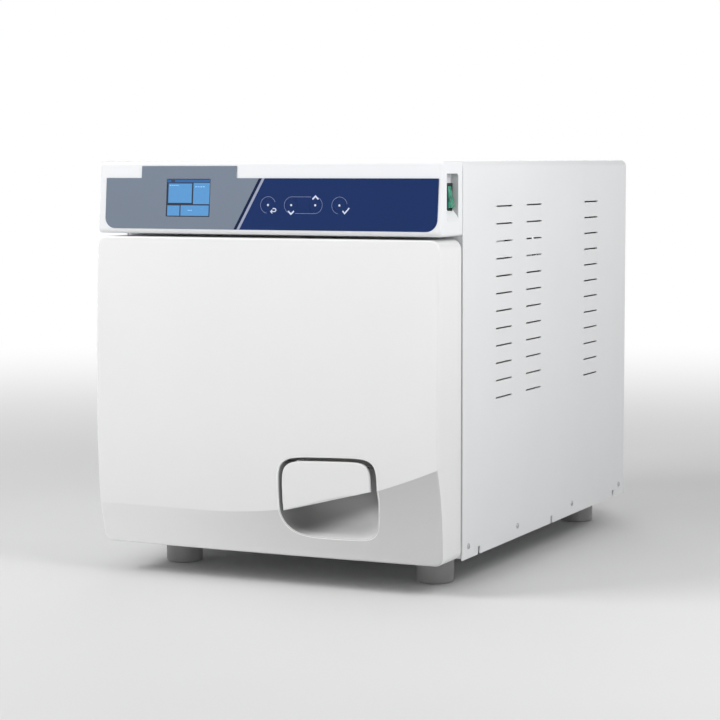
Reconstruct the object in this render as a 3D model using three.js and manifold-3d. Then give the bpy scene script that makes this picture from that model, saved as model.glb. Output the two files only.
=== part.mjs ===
// Benchtop steam autoclave with a side-hinged door.
// Millimetres, +Z up, the front faces -Y, the origin is under the middle of the feet.
import * as THREE from "three";
import { mergeVertices } from "three/addons/utils/BufferGeometryUtils.js";
import Module from "manifold-3d";

// ---------- driving dimensions ----------
const WIDTH = 430; // over the outer cover
const DEPTH = 642; // door face to cover's rear edge
const FOOT_HEIGHT = 34; // floor to the cover's lower edge
const COVER_HEIGHT = 445;
const COVER_DEPTH = 566;
const SHEET = 1.5; // outer cover thickness
const GAP = 0.4; // between pieces that touch

const HALF = WIDTH / 2;
const REAR = DEPTH / 2;
const COVER_FRONT = REAR - COVER_DEPTH;
const LOW = FOOT_HEIGHT; // cover's lower edge
const TOP = FOOT_HEIGHT + COVER_HEIGHT;

const DOOR_GAP = 5; // dark slit between door and cover
const DOOR_REAR = COVER_FRONT - DOOR_GAP;
const DOOR_LOW = LOW + 2;
const DOOR_TOP = LOW + 359;
const DOOR_WALL = 3;
const DOOR_BULGE = 4; // the face's crown from its sides to its middle
const FACE_DEPTH = 72; // door face at its sides, in front of the cover
const FACET_DEPTH = 56; // the same at the door's lower edge
const DOOR_ANGLE_CLEARANCE = 1; // room round the hinge arms in the door

const HINGE_X = -HALF + 12;
const HINGE_Y = DOOR_REAR - 15;
const HINGE_HEIGHTS = [LOW + 50, LOW + 302];
const HINGE_ARM_HEIGHT = 12;
const HINGE_PIN_RADIUS = 4;

const HOUSING_LOW = LOW + 362.5;
const HOUSING_DEPTH = 56.5; // in front of the cover, at the top
const HOUSING_WALL = 3;
const FASCIA_TILT = THREE.MathUtils.degToRad(5);
const FASCIA_LOW = LOW + 368; // overlay's lower edge
const KEY_RADIUS = 7.5;
const KEY_SPOTS = { back: 5.3, down: 34.3, up: 64, ok: 93.6 };
const KEY_HEIGHT = 28; // above the overlay's lower edge

const CHAMBER_RADIUS = 125;
const CHAMBER_WALL = 3;
const CHAMBER_Z = LOW + 194;
const CHAMBER_MOUTH = COVER_FRONT + 1.8;
const CHAMBER_BACK = 195;
const FLANGE_RADIUS = CHAMBER_RADIUS + 14;

const TRAY = { width: 168, length: 380, height: 14, wall: 1.2 };
const TRAY_LEVELS = [-58, 0, 58];

const FOOT_RADIUS = 21.7;
const FOOT_INSET_X = 51;
const FOOT_FRONT_Y = COVER_FRONT + 42;
const FOOT_REAR_Y = REAR - 45;

const RECESS = { x0: 22.6, x1: 142.6, z0: LOW + 26.6, z1: LOW + 117.4, back: DOOR_REAR - 25 };
const HANDLE = { x0: 27.4, x1: 134.8, top: LOW + 113.4, lowLeft: LOW + 54, lowRight: LOW + 81.5 };
const HANDLE_CORNER = 15;
const HANDLE_PIVOT = { y: COVER_FRONT - 67.5, z: LOW + 109.9 };
const LATCH = { x: 181, y: DOOR_REAR - 14, z: LOW + 116 };
const LOCK = { x: 181, z: LOW + 266 };
const LID = { x0: -160, x1: -50, y0: -210, y1: -110 };
const SWITCH = { y: COVER_FRONT - 20.9, z: LOW + 405, floor: HALF - 9.2 };
const FAN = { x: 120, z: LOW + 336, radius: 54 };

// ---------- solids ----------
const wasm = await Module();
wasm.setup();

function toSolid(geometry) {
  const loose = geometry.index ? geometry.toNonIndexed() : geometry;
  const bare = new THREE.BufferGeometry();
  bare.setAttribute("position", loose.getAttribute("position"));
  const merged = mergeVertices(bare, 1e-3);
  return new wasm.Manifold(
    new wasm.Mesh({
      numProp: 3,
      vertProperties: merged.getAttribute("position").array,
      triVerts: new Uint32Array(merged.index.array),
    }),
  );
}

function toGeometry(solid) {
  const mesh = solid.getMesh();
  const geometry = new THREE.BufferGeometry();
  geometry.setAttribute("position", new THREE.BufferAttribute(mesh.vertProperties, mesh.numProp));
  geometry.setIndex(new THREE.BufferAttribute(mesh.triVerts, 1));
  geometry.computeVertexNormals();
  return geometry;
}

const join = (first, ...more) => toGeometry(more.reduce((sum, g) => sum.add(toSolid(g)), toSolid(first)));
const cut = (first, ...more) => toGeometry(more.reduce((sum, g) => sum.subtract(toSolid(g)), toSolid(first)));
const common = (a, b) => toGeometry(toSolid(a).intersect(toSolid(b)));

// A box between two values on each axis.
function block([x0, x1], [y0, y1], [z0, z1]) {
  const box = new THREE.BoxGeometry(x1 - x0, y1 - y0, z1 - z0);
  return box.translate((x0 + x1) / 2, (y0 + y1) / 2, (z0 + z1) / 2);
}

// A cylinder along one axis, from a to b, through the point (x, y, z) with that axis's value unused.
function rod(axis, radius, a, b, [x, y, z], segments = 24) {
  const bar = new THREE.CylinderGeometry(radius, radius, b - a, segments);
  const middle = (a + b) / 2;
  if (axis === "x") return bar.rotateZ(Math.PI / 2).translate(middle, y, z);
  if (axis === "y") return bar.translate(x, middle, z);
  return bar.rotateX(Math.PI / 2).translate(x, y, middle);
}

// A solid turned about the Y axis from [radius, y] pairs.
function turned(profile, segments = 32) {
  return new THREE.LatheGeometry(profile.map(([r, y]) => new THREE.Vector2(r, y)), segments);
}

const ring = (inner, outer, y0, y1, segments) =>
  turned([[inner, y0], [outer, y0], [outer, y1], [inner, y1], [inner, y0]], segments);

function outline(points) {
  return new THREE.Shape(points.map(([x, y]) => new THREE.Vector2(x, y)));
}

// A rectangle whose lower and upper corners have their own radii.
function roundedRectangle(x0, x1, y0, y1, lowRadius, highRadius = lowRadius) {
  const quarter = Math.PI / 2;
  const shape = new THREE.Shape();
  shape.absarc(x1 - lowRadius, y0 + lowRadius, lowRadius, -quarter, 0);
  shape.absarc(x1 - highRadius, y1 - highRadius, highRadius, 0, quarter);
  shape.absarc(x0 + highRadius, y1 - highRadius, highRadius, quarter, 2 * quarter);
  shape.absarc(x0 + lowRadius, y0 + lowRadius, lowRadius, 2 * quarter, 3 * quarter);
  shape.closePath();
  return shape;
}

const extrude = (shape, depth, curveSegments) =>
  new THREE.ExtrudeGeometry(shape, { depth, bevelEnabled: false, curveSegments });

// Prisms of an outline drawn in (x, z), (y, z) or (x, y), between two values of the remaining axis.
const prismY = (shape, y0, y1, curve = 6) => extrude(shape, y1 - y0, curve).rotateX(Math.PI / 2).translate(0, y1, 0);
const prismZ = (shape, z0, z1, curve = 6) => extrude(shape, z1 - z0, curve).translate(0, 0, z0);
function prismX(shape, x0, x1, curve = 6) {
  const turn = new THREE.Matrix4().makeBasis(
    new THREE.Vector3(0, 1, 0),
    new THREE.Vector3(0, 0, 1),
    new THREE.Vector3(1, 0, 0),
  );
  return extrude(shape, x1 - x0, curve).applyMatrix4(turn).translate(x0, 0, 0);
}

// ---------- finishes ----------
const finish = (color, roughness, metalness = 0) => new THREE.MeshStandardMaterial({ color, roughness, metalness });
const finishes = {
  coverPaint: () => finish(0xe9ebec, 0.45),
  doorPlastic: () => finish(0xf0f1f2, 0.4),
  zincSheet: () => finish(0xb9bdc0, 0.4, 0.8),
  stainless: () => finish(0xc9ccce, 0.25, 1),
  aluminium: () => finish(0xaeb3b8, 0.35, 1),
  brass: () => finish(0xb5964c, 0.3, 1),
  blackPlastic: () => finish(0x1c1d1f, 0.5),
  greyPlastic: () => finish(0x6e7175, 0.6),
  tankPlastic: () => finish(0xdfe5e8, 0.5),
  silicone: () => finish(0xd9d4c8, 0.7),
  rubber: () => finish(0x4a4c4e, 0.8),
  insulation: () => finish(0xcfc9b4, 0.95),
  board: () => finish(0x1f5b3a, 0.5),
  overlayBlue: () => finish(0x253767, 0.35),
  displayGlass: () => finish(0x4f93cf, 0.2),
  rockerGreen: () => finish(0x2d8f6c, 0.3),
};

// ---------- scene graph ----------
const autoclave = new THREE.Group();

function part(name, geometry, look, parent = autoclave, [x, y, z] = [0, 0, 0]) {
  const mesh = new THREE.Mesh(geometry, finishes[look]());
  mesh.name = name;
  mesh.position.set(x, y, z);
  parent.add(mesh);
  return mesh;
}

// A group that turns about a point, whose pieces keep the autoclave's own coordinates.
function pivot(x, y, z, parent = autoclave) {
  const axle = new THREE.Group();
  axle.position.set(x, y, z);
  const load = new THREE.Group();
  load.position.set(-x, -y, -z);
  axle.add(load);
  parent.add(axle);
  return load;
}

// ---------- outer cover, base pan, back panel, front frame ----------
const VENT = { columns: [125, 221.6, 426.6], length: 51, height: 1.8, first: 392.8, pitch: 20, rows: 12 };
const NOTCH_SPOTS = [49.5, 287, 521.8]; // behind the cover's front edge

function coverOutline(outside, low, radius) {
  return roundedRectangle(-outside, outside, low - 20, TOP - (HALF - outside), 0.5, radius);
}

function coverWrap() {
  const shell = cut(
    prismY(coverOutline(HALF, LOW, 8), COVER_FRONT, REAR),
    prismY(coverOutline(HALF - SHEET, LOW, 8 - SHEET), COVER_FRONT - 1, REAR + 1),
    block([-HALF - 1, HALF + 1], [COVER_FRONT - 1, REAR + 1], [LOW - 30, LOW]),
  );
  const slots = [];
  for (const column of VENT.columns) {
    for (let row = 0; row < VENT.rows; row++) {
      const y = COVER_FRONT + column;
      const z = LOW + VENT.first - row * VENT.pitch;
      const along = [y - VENT.length / 2, y + VENT.length / 2];
      slots.push(block([-HALF - 1, HALF + 1], along, [z - VENT.height / 2, z + VENT.height / 2]));
    }
  }
  const notches = NOTCH_SPOTS.map((spot) => {
    const y = COVER_FRONT + spot;
    return block([-HALF - 1, HALF + 1], [y - 3.5, y + 3.5], [LOW - 1, LOW + 9]);
  });
  const fillerHole = block([LID.x0, LID.x1], [LID.y0, LID.y1], [TOP - 5, TOP + 5]);
  return cut(shell, ...slots, ...notches, fillerHole);
}

const INNER = HALF - SHEET - GAP; // half the width inside the cover
const PAN_FLOOR = LOW + 2;
const innerPanel = (low) => roundedRectangle(-INNER, INNER, low, TOP - SHEET - GAP, 0.5, 6.5);

function basePan() {
  const y = [COVER_FRONT + 5, REAR - 2];
  return cut(
    block([-INNER, INNER], y, [PAN_FLOOR, LOW + 24]),
    block([-INNER + 2, INNER - 2], [y[0] + 2, y[1] - 2], [PAN_FLOOR + 2, LOW + 30]),
  );
}

const BACK_PANEL = [REAR - 15, REAR - 13];
const INLET = { x: 150, z: LOW + 60 };
const DRAIN_SPOTS = { clean_drain: -20, waste_drain: 20 };
const DRAIN_Z = LOW + 50;
const SAFETY_Z = CHAMBER_Z + 40;

function backPanel() {
  const holes = [
    rod("y", FAN.radius + 2, REAR - 20, REAR, [FAN.x, 0, FAN.z], 32),
    block([INLET.x - 24.5, INLET.x + 24.5], [REAR - 20, REAR], [INLET.z - 14.5, INLET.z + 14.5]),
    rod("y", 12, REAR - 20, REAR, [0, 0, SAFETY_Z]),
    ...Object.values(DRAIN_SPOTS).map((x) => rod("y", 10, REAR - 20, REAR, [x, 0, DRAIN_Z])),
  ];
  for (let i = 0; i < 9; i++) {
    const x = -170 + i * 20;
    holes.push(block([x, x + 6], [REAR - 20, REAR], [LOW + 280, LOW + 390]));
  }
  return cut(prismY(innerPanel(LOW + 25), ...BACK_PANEL), ...holes);
}

const HINGE_SLOT = HINGE_ARM_HEIGHT / 2 + DOOR_ANGLE_CLEARANCE;
const ARM_HALF = 6;

function frontFrame() {
  const y = [COVER_FRONT + 1, COVER_FRONT + 4];
  const through = [y[0] - 1, y[1] + 1];
  const holes = [
    rod("y", FLANGE_RADIUS + 1, ...through, [0, 0, CHAMBER_Z], 48),
    block([LATCH.x - 6, LATCH.x + 6], through, [LATCH.z - 26, LATCH.z + 24]),
    rod("y", 5.5, ...through, [LOCK.x, 0, LOCK.z]),
    ...HINGE_HEIGHTS.map((z) =>
      block(
        [HINGE_X - ARM_HALF - GAP, HINGE_X + ARM_HALF + GAP],
        through,
        [z - ARM_HALF - GAP, z + ARM_HALF + GAP],
      ),
    ),
    block([-60, 60], through, [TOP - 60, TOP - 30]),
  ];
  return cut(prismY(innerPanel(PAN_FLOOR), ...y), ...holes);
}

part("cover_wrap", coverWrap(), "coverPaint");
part("base_pan", basePan(), "zincSheet");
part("back_panel", backPanel(), "coverPaint");
part("front_frame", frontFrame(), "coverPaint");

// ---------- feet ----------
for (const [side, x] of [["left", FOOT_INSET_X - HALF], ["right", HALF - FOOT_INSET_X]]) {
  for (const [end, y] of [["front", FOOT_FRONT_Y], ["rear", FOOT_REAR_Y]]) {
    const profile = [[0, 0], [FOOT_RADIUS - 4, 0], [FOOT_RADIUS - 1, 1.2], [FOOT_RADIUS, 4]];
    profile.push([FOOT_RADIUS, PAN_FLOOR - GAP], [0, PAN_FLOOR - GAP]);
    const foot = turned(profile, 24).rotateX(Math.PI / 2);
    part(`foot_${end}_${side}`, foot, "rubber", autoclave, [x, y, 0]);
  }
}

// ---------- pressure chamber ----------
const chamber = new THREE.Group();
chamber.position.set(0, 0, CHAMBER_Z);
autoclave.add(chamber);

function chamberVessel() {
  const inner = CHAMBER_RADIUS;
  const outer = inner + CHAMBER_WALL;
  const domeInside = [[0, CHAMBER_BACK + 27], [50, CHAMBER_BACK + 24], [95, CHAMBER_BACK + 14]];
  const domeOutside = [[97, CHAMBER_BACK + 17], [51, CHAMBER_BACK + 27], [0, CHAMBER_BACK + 30]];
  return turned([
    ...domeInside,
    [inner, CHAMBER_BACK],
    [inner, CHAMBER_MOUTH],
    [FLANGE_RADIUS, CHAMBER_MOUTH],
    [FLANGE_RADIUS, CHAMBER_MOUTH + 10],
    [outer, CHAMBER_MOUTH + 10],
    [outer, CHAMBER_BACK],
    ...domeOutside,
  ], 40);
}

part("chamber_vessel", chamberVessel(), "stainless", chamber);
part("heater_band", ring(CHAMBER_RADIUS + 3.6, CHAMBER_RADIUS + 6, -150, 100, 32), "greyPlastic", chamber);
part("insulation_jacket", ring(CHAMBER_RADIUS + 7, CHAMBER_RADIUS + 26, -222, 170, 32), "insulation", chamber);

const RACK = { side: TRAY.width / 2 + 3.6, half: 77, front: -226, back: 165, sheet: 1.5, ledge: 8 };

function trayRack() {
  const length = [RACK.front, RACK.back];
  const pieces = [];
  for (const sign of [-1, 1]) {
    const wall = [sign * RACK.side, sign * (RACK.side - RACK.sheet)].sort((a, b) => a - b);
    const ledge = [sign * RACK.side, sign * (RACK.side - RACK.ledge)].sort((a, b) => a - b);
    pieces.push(block(wall, length, [-RACK.half, RACK.half]));
    for (const level of TRAY_LEVELS) pieces.push(block(ledge, length, [level - 2, level - 0.5]));
  }
  const across = [-RACK.side, RACK.side];
  pieces.push(block(across, [RACK.back - 2, RACK.back], [-RACK.half, RACK.half]));
  pieces.push(block(across, [RACK.front, RACK.front + 12], [-RACK.half, -RACK.half + RACK.sheet]));
  pieces.push(block(across, [RACK.front, RACK.front + 12], [RACK.half - RACK.sheet, RACK.half]));
  return join(...pieces);
}

function tray() {
  const { width, length, height, wall } = TRAY;
  return cut(
    block([-width / 2, width / 2], [0, length], [0, height]),
    block([-width / 2 + wall, width / 2 - wall], [wall, length - wall], [wall, height + 1]),
  );
}

part("tray_rack", trayRack(), "stainless", chamber);
TRAY_LEVELS.forEach((level, i) => part(`tray_${i + 1}`, tray(), "stainless", chamber, [0, RACK.front + 1, level]));

// ---------- water, vacuum and steam ----------
function cleanTank() {
  const neck = [[LID.x0 + 8, LID.x1 - 8], [LID.y0 + 8, LID.y1 - 8]];
  const body = join(
    block([-205, -5], [-225, 60], [LOW + 358, LOW + 432]),
    block(...neck, [LOW + 431, TOP - 3]),
  );
  return cut(
    body,
    block([-202, -8], [-222, 57], [LOW + 361, LOW + 429]),
    block([LID.x0 + 11, LID.x1 - 11], [LID.y0 + 11, LID.y1 - 11], [LOW + 420, TOP]),
  );
}

function ribbedTank() {
  const ribs = [];
  for (let i = 0; i < 6; i++) ribs.push(block([5, 205], [-200 + i * 45, -180 + i * 45], [LOW + 428, LOW + 436]));
  return join(block([5, 205], [-225, 60], [LOW + 358, LOW + 430]), ...ribs);
}

function finnedCore() {
  const pieces = [35, -35].map((z) => rod("x", 5, -65, 65, [0, 0, z], 8));
  for (let i = 0; i < 7; i++) pieces.push(block([-61 + i * 20, -59 + i * 20], [-15, 15], [-60, 60]));
  return join(...pieces);
}

function motorPump(radius, length) {
  return join(
    rod("x", radius, 0, length, [0, 0, 0]),
    block([-24, 1], [-radius, radius], [-radius - 1, radius]),
    rod("z", 6, radius - 4, radius + 12, [-12, 0, 0], 12),
  );
}

function valveBlock() {
  const valves = [0, 1, 2].map((i) => rod("z", 11, 24, 56, [-34 + i * 34, 0, 0], 16));
  return join(block([-52, 52], [-20, 20], [0, 26]), ...valves);
}

part("clean_water_tank", cleanTank(), "tankPlastic");
part("waste_water_tank", ribbedTank(), "tankPlastic");
part("vacuum_pump", motorPump(32, 90), "aluminium", autoclave, [-165, 268, LOW + 42]);
part("water_pump", motorPump(18, 50), "blackPlastic", autoclave, [-175, -150, LOW + 28]);
part("steam_generator", rod("z", 28, LOW + 8, LOW + 112, [176, -110, 0]), "brass");
part("condenser_core", finnedCore(), "aluminium", autoclave, [FAN.x, 256, FAN.z]);
part("valve_block", valveBlock(), "brass", autoclave, [0, 262, LOW + 76]);
part("air_filter", rod("z", 24, LOW + 170, LOW + 245, [-165, 275, 0]), "tankPlastic");

const safetyValve = join(
  rod("y", 8, 228, REAR - 3, [0, 0, 0]),
  rod("y", 16, 245, 265, [0, 0, 0], 6),
);
part("safety_valve", safetyValve, "brass", autoclave, [0, 0, SAFETY_Z]);
for (const [name, x] of Object.entries(DRAIN_SPOTS)) {
  const coupling = join(rod("y", 8, 290, REAR - 2, [0, 0, 0]), rod("y", 13, 290, 300, [0, 0, 0], 6));
  part(name, coupling, "brass", autoclave, [x, 0, DRAIN_Z]);
}

// ---------- cooling fan ----------
function fanShroud() {
  const frame = prismY(roundedRectangle(-60, 60, -60, 60, 6), -12.5, 12.5);
  const bore = rod("y", FAN.radius + 1.5, -13, 9, [0, 0, 0], 40);
  const throat = rod("y", FAN.radius - 2, 0, 20, [0, 0, 0], 40);
  const hub = rod("y", 20, 9.5, 12.5, [0, 0, 0]);
  const struts = [0, 1, 2, 3].map((i) =>
    block([18, FAN.radius + 2], [9.5, 12.5], [-3, 3]).rotateY(((i + 0.5) * Math.PI) / 2),
  );
  return join(cut(frame, bore, throat), hub, ...struts);
}

function fanRotor() {
  const blades = [];
  for (let i = 0; i < 7; i++) {
    const blade = block([17, FAN.radius], [-9, 8], [-1.2, 1.2]).rotateX(THREE.MathUtils.degToRad(40));
    blades.push(blade.rotateY((i * 2 * Math.PI) / 7));
  }
  return join(rod("y", 19, -11, 8.5, [0, 0, 0]), ...blades);
}

const FAN_Y = 289;
part("fan_shroud", fanShroud(), "blackPlastic", autoclave, [FAN.x, FAN_Y, FAN.z]);
const fan = pivot(FAN.x, FAN_Y, FAN.z);
part("fan_rotor", fanRotor(), "blackPlastic", fan, [FAN.x, FAN_Y, FAN.z]);

// ---------- electrics ----------
function circuitBoard() {
  const chips = [[-70, 20, 30], [-20, -30, 22], [30, 25, 40], [75, -40, 26]].map(([y, z, size]) =>
    block([0, 16], [y, y + size], [z, z + size]),
  );
  return join(block([-2, 1], [-110, 110], [-85, 85]), ...chips);
}

function powerInlet() {
  const { x, z } = INLET;
  const shell = join(
    block([x - 24, x + 24], [REAR - 40, REAR - 14], [z - 14, z + 14]),
    block([x - 29, x + 29], [REAR - 12.6, REAR - 10], [z - 18, z + 18]),
    block([x - 23, x + 23], [REAR - 16, REAR - 12], [z - 13, z + 13]),
  );
  const pins = [-7, 0, 7].map((offset, i) =>
    block([x + offset - 1, x + offset + 1], [REAR - 31, REAR - 21], [z - 2 + (i % 2) * 5, z + 3 + (i % 2) * 5]),
  );
  return join(cut(shell, block([x - 13, x + 13], [REAR - 30, REAR], [z - 9, z + 11])), ...pins);
}

part("main_board", circuitBoard(), "board", autoclave, [-206, 0, CHAMBER_Z + 20]);
part("power_inlet", powerInlet(), "blackPlastic");

// ---------- filler lid ----------
const lidPivot = pivot(0, LID.y1, TOP);
const lidSides = [[LID.x0 + GAP, LID.x1 - GAP], [LID.y0 + GAP, LID.y1 - GAP]];
part("filler_lid", block(...lidSides, [TOP - SHEET, TOP - 0.05]), "coverPaint", lidPivot);

// ---------- control housing ----------
const fasciaY = (z) => COVER_FRONT - HOUSING_DEPTH - (TOP - z) * Math.tan(FASCIA_TILT);

// The fascia's own frame: x across, y up the face, z out of it.
const fascia = new THREE.Group();
fascia.position.set(0, fasciaY(FASCIA_LOW), FASCIA_LOW);
fascia.rotation.x = Math.PI / 2 - FASCIA_TILT;
fascia.updateMatrix();
autoclave.add(fascia);
const onFascia = (geometry) => geometry.applyMatrix4(fascia.matrix);

const WINDOW = { x0: -125.5, x1: -68.7, y0: 14, y1: 57 };
const OVERLAY = { x0: -205.5, x1: 211, top: 57.8, corner: 13, tabX0: -158.8, tabX1: -36, tabTop: 71.5 };
const OVERLAY_FACES = [0.15, 0.75];

function housingOutline(inset) {
  const rear = COVER_FRONT - GAP + inset;
  const lip = fasciaY(FASCIA_LOW);
  const shape = new THREE.Shape();
  shape.moveTo(rear, TOP - inset);
  shape.lineTo(fasciaY(TOP) + 3 + inset, TOP - inset);
  shape.quadraticCurveTo(fasciaY(TOP) + inset, TOP - inset, fasciaY(TOP - 3) + inset, TOP - 3 - inset);
  shape.lineTo(lip + inset, FASCIA_LOW);
  shape.quadraticCurveTo(lip + inset, HOUSING_LOW + inset, lip + 6 + inset, HOUSING_LOW + inset);
  shape.lineTo(rear, HOUSING_LOW + inset);
  shape.closePath();
  return shape;
}

const windowCut = (grow, depth) =>
  block([WINDOW.x0 - grow, WINDOW.x1 + grow], [WINDOW.y0 - grow, WINDOW.y1 + grow], depth);
const keyCuts = (depth) =>
  Object.values(KEY_SPOTS).map((x) => rod("z", KEY_RADIUS + 0.3, ...depth, [x, KEY_HEIGHT, 0]));

function controlHousing() {
  const wall = HOUSING_WALL;
  const shell = cut(
    prismX(housingOutline(0), -HALF, HALF, 4),
    prismX(housingOutline(wall), -HALF + wall, HALF - wall, 4),
  );
  const pocketY = [COVER_FRONT - 45.6, COVER_FRONT - 12.8];
  const pocketZ = [LOW + 381, LOW + 430.5];
  const grown = ([a, b]) => [a - wall, b + wall];
  const pocketWalls = block([SWITCH.floor - wall, HALF - 1], grown(pocketY), grown(pocketZ));
  const through = [-8, 2];
  return cut(
    join(shell, pocketWalls),
    block([SWITCH.floor, HALF + 1], pocketY, pocketZ),
    block([SWITCH.floor - 8, HALF], [SWITCH.y - 6.7, SWITCH.y + 6.7], [SWITCH.z - 14.4, SWITCH.z + 14.4]),
    onFascia(windowCut(0, through)),
    ...keyCuts(through).map(onFascia),
  );
}

function panelOverlay() {
  const { x0, x1, top, corner, tabX0, tabX1, tabTop } = OVERLAY;
  const shape = roundedRectangle(x0, x1, 0, top, corner, 1);
  const depth = OVERLAY_FACES[1] - OVERLAY_FACES[0];
  const sheet = extrude(shape, depth, 5).translate(0, 0, OVERLAY_FACES[0]);
  const tab = block([tabX0, tabX1], [top - 5, tabTop], OVERLAY_FACES);
  return cut(join(sheet, tab), windowCut(0, [-1, 2]), ...keyCuts([-1, 2]));
}

function lcdModule() {
  const glass = windowCut(-0.3, [-HOUSING_WALL - 1, OVERLAY_FACES[1] - 0.3]);
  return join(glass, windowCut(4, [-11, -HOUSING_WALL - GAP]));
}

part("control_housing", controlHousing(), "coverPaint");
part("panel_overlay", panelOverlay(), "overlayBlue", fascia);
part("lcd_module", lcdModule(), "displayGlass", fascia);
for (const [key, x] of Object.entries(KEY_SPOTS)) {
  const cap = rod("z", KEY_RADIUS, -6, OVERLAY_FACES[1], [0, 0, 0]);
  part(`key_${key}`, cap, "overlayBlue", fascia, [x, KEY_HEIGHT, 0]);
}

function controlBoard() {
  const keys = Object.values(KEY_SPOTS).map((x) => block([x - 6, x + 6], [-6, 0], [-6, 6]));
  return join(block([-190, 180], [0, 2], [-28, 34]), ...keys);
}
part("control_board", controlBoard(), "board", autoclave, [0, COVER_FRONT - 18, FASCIA_LOW + 33]);

// ---------- power rocker ----------
function switchBezel() {
  const x = SWITCH.floor + GAP;
  return cut(
    join(block([x, x + 2], [-7, 7], [-15.4, 15.4]), block([x - 16, x + 1], [-6.3, 6.3], [-14, 14])),
    block([x - 10, x + 3], [-5.4, 5.4], [-12.9, 12.9]),
  );
}

// Its ends lie on one circle about its pivot, so that they clear the bezel as it rocks.
function rocker() {
  const swing = 12.6;
  const at = (degrees) => {
    const angle = THREE.MathUtils.degToRad(degrees);
    return [swing * Math.cos(angle), swing * Math.sin(angle)];
  };
  const upper = [75, 87, 99].map(at);
  const lower = [-99, -87, -75, -63, -53].map(at);
  return prismY(outline([[4.6, 0.5], ...upper, ...lower]), -5, 5);
}

part("switch_bezel", switchBezel(), "blackPlastic", autoclave, [0, SWITCH.y, SWITCH.z]);
const rockerX = SWITCH.floor - 1.3;
const rockerPivot = pivot(rockerX, SWITCH.y, SWITCH.z);
part("rocker_button", rocker(), "rockerGreen", rockerPivot, [rockerX, SWITCH.y, SWITCH.z]);

// ---------- door ----------
const CREASE = { low: 48.4, rise: 62.3, start: -74, run: 289 };
const FACE_CURVE = { widest: 150, upper: 1.8e-4, lower: 5e-4 };
const FACET_POWER = [1.2, 2.6]; // the facet is hollow, and more so where the crease is high

const creaseShare = (x) => Math.max(0, (x - CREASE.start) / CREASE.run);
const creaseHeight = (x) => CREASE.low + CREASE.rise * creaseShare(x) ** 2;

// How far the door's face stands in front of the cover, at x and a height above the cover's lower edge.
function faceDepth(x, height) {
  const curved = (h) => {
    const fall = h > FACE_CURVE.widest ? FACE_CURVE.upper : FACE_CURVE.lower;
    return FACE_DEPTH - fall * (h - FACE_CURVE.widest) ** 2;
  };
  const crown = DOOR_BULGE * (1 - (x / HALF) ** 2);
  const crease = creaseHeight(x);
  if (height >= crease) return crown + curved(height);
  const power = THREE.MathUtils.lerp(...FACET_POWER, creaseShare(x));
  const share = Math.max(0, height / crease) ** power;
  return crown + FACET_DEPTH + (curved(crease) - FACET_DEPTH) * share;
}

// The door's outer form, moved in by an inset, from its curved face back to a flat rear.
function doorForm(inset, rear) {
  const [columns, rows, facetRows] = [12, 14, 4];
  const box = new THREE.BoxGeometry(WIDTH - 2 * inset, 1, 1, columns, 1, rows);
  const points = box.getAttribute("position");
  const low = DOOR_LOW + inset;
  const high = DOOR_TOP - inset;
  for (let i = 0; i < points.count; i++) {
    const x = points.getX(i);
    const row = Math.round((points.getZ(i) + 0.5) * rows);
    const crease = LOW + creaseHeight(x);
    const z =
      row <= facetRows
        ? low + ((crease - low) * row) / facetRows
        : crease + ((high - crease) * (row - facetRows)) / (rows - facetRows);
    const y = points.getY(i) < 0 ? COVER_FRONT - faceDepth(x, z - LOW) + inset : rear;
    points.setXYZ(i, x, y, z);
  }
  const side = HALF - inset;
  const corners = roundedRectangle(-side, side, low, high, 9.5 - inset, 12 - inset);
  return common(box, prismY(corners, -DEPTH, DEPTH, 3));
}

const hingeNotch = (z) =>
  block([-HALF - 1, HINGE_X + 13], [HINGE_Y - 11, DOOR_REAR + 1], [z - HINGE_SLOT, z + HINGE_SLOT]);

function doorCover() {
  const { x0, x1, z0, z1, back } = RECESS;
  const well = (grow, depth) =>
    prismY(roundedRectangle(x0 - grow, x1 + grow, z0 - grow, z1 + grow, 18 + grow), -DEPTH, depth, 3);
  const outer = doorForm(0, DOOR_REAR);
  const shell = cut(outer, doorForm(DOOR_WALL, DOOR_REAR + 1));
  const wellWalls = common(outer, well(DOOR_WALL, back + DOOR_WALL));
  return cut(join(shell, wellWalls), well(0, back), ...HINGE_HEIGHTS.map(hingeNotch));
}

const door = pivot(HINGE_X, HINGE_Y, 0);
const LINER_FACES = [DOOR_REAR - 2, DOOR_REAR];

function doorLiner() {
  const side = HALF - DOOR_WALL - GAP;
  const through = [LINER_FACES[0] - 1, LINER_FACES[1] + 1];
  const low = DOOR_LOW + DOOR_WALL + GAP;
  const high = DOOR_TOP - DOOR_WALL - GAP;
  return cut(
    prismY(roundedRectangle(-side, side, low, high, 6, 8.5), ...LINER_FACES, 3),
    rod("y", FLANGE_RADIUS + 2, ...through, [0, 0, CHAMBER_Z], 48),
    block([LATCH.x - 7, LATCH.x + 7], through, [LATCH.z - 24, LATCH.z + 24]),
    rod("y", 6, ...through, [LOCK.x, 0, LOCK.z]),
    ...HINGE_HEIGHTS.map(hingeNotch),
  );
}

function doorPlate() {
  const edge = FLANGE_RADIUS + 1;
  const front = [[0, -8], [98, -8], [112, -5], [edge, -5]];
  const rear = [[edge, -0.4], [112, -0.4], [100, 2.5], [0, 2.5]];
  return turned([...front, ...rear], 48);
}

const BEAM = [DOOR_REAR - 34, DOOR_REAR - 20];
const BOLT_RADIUS = 7;

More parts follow.
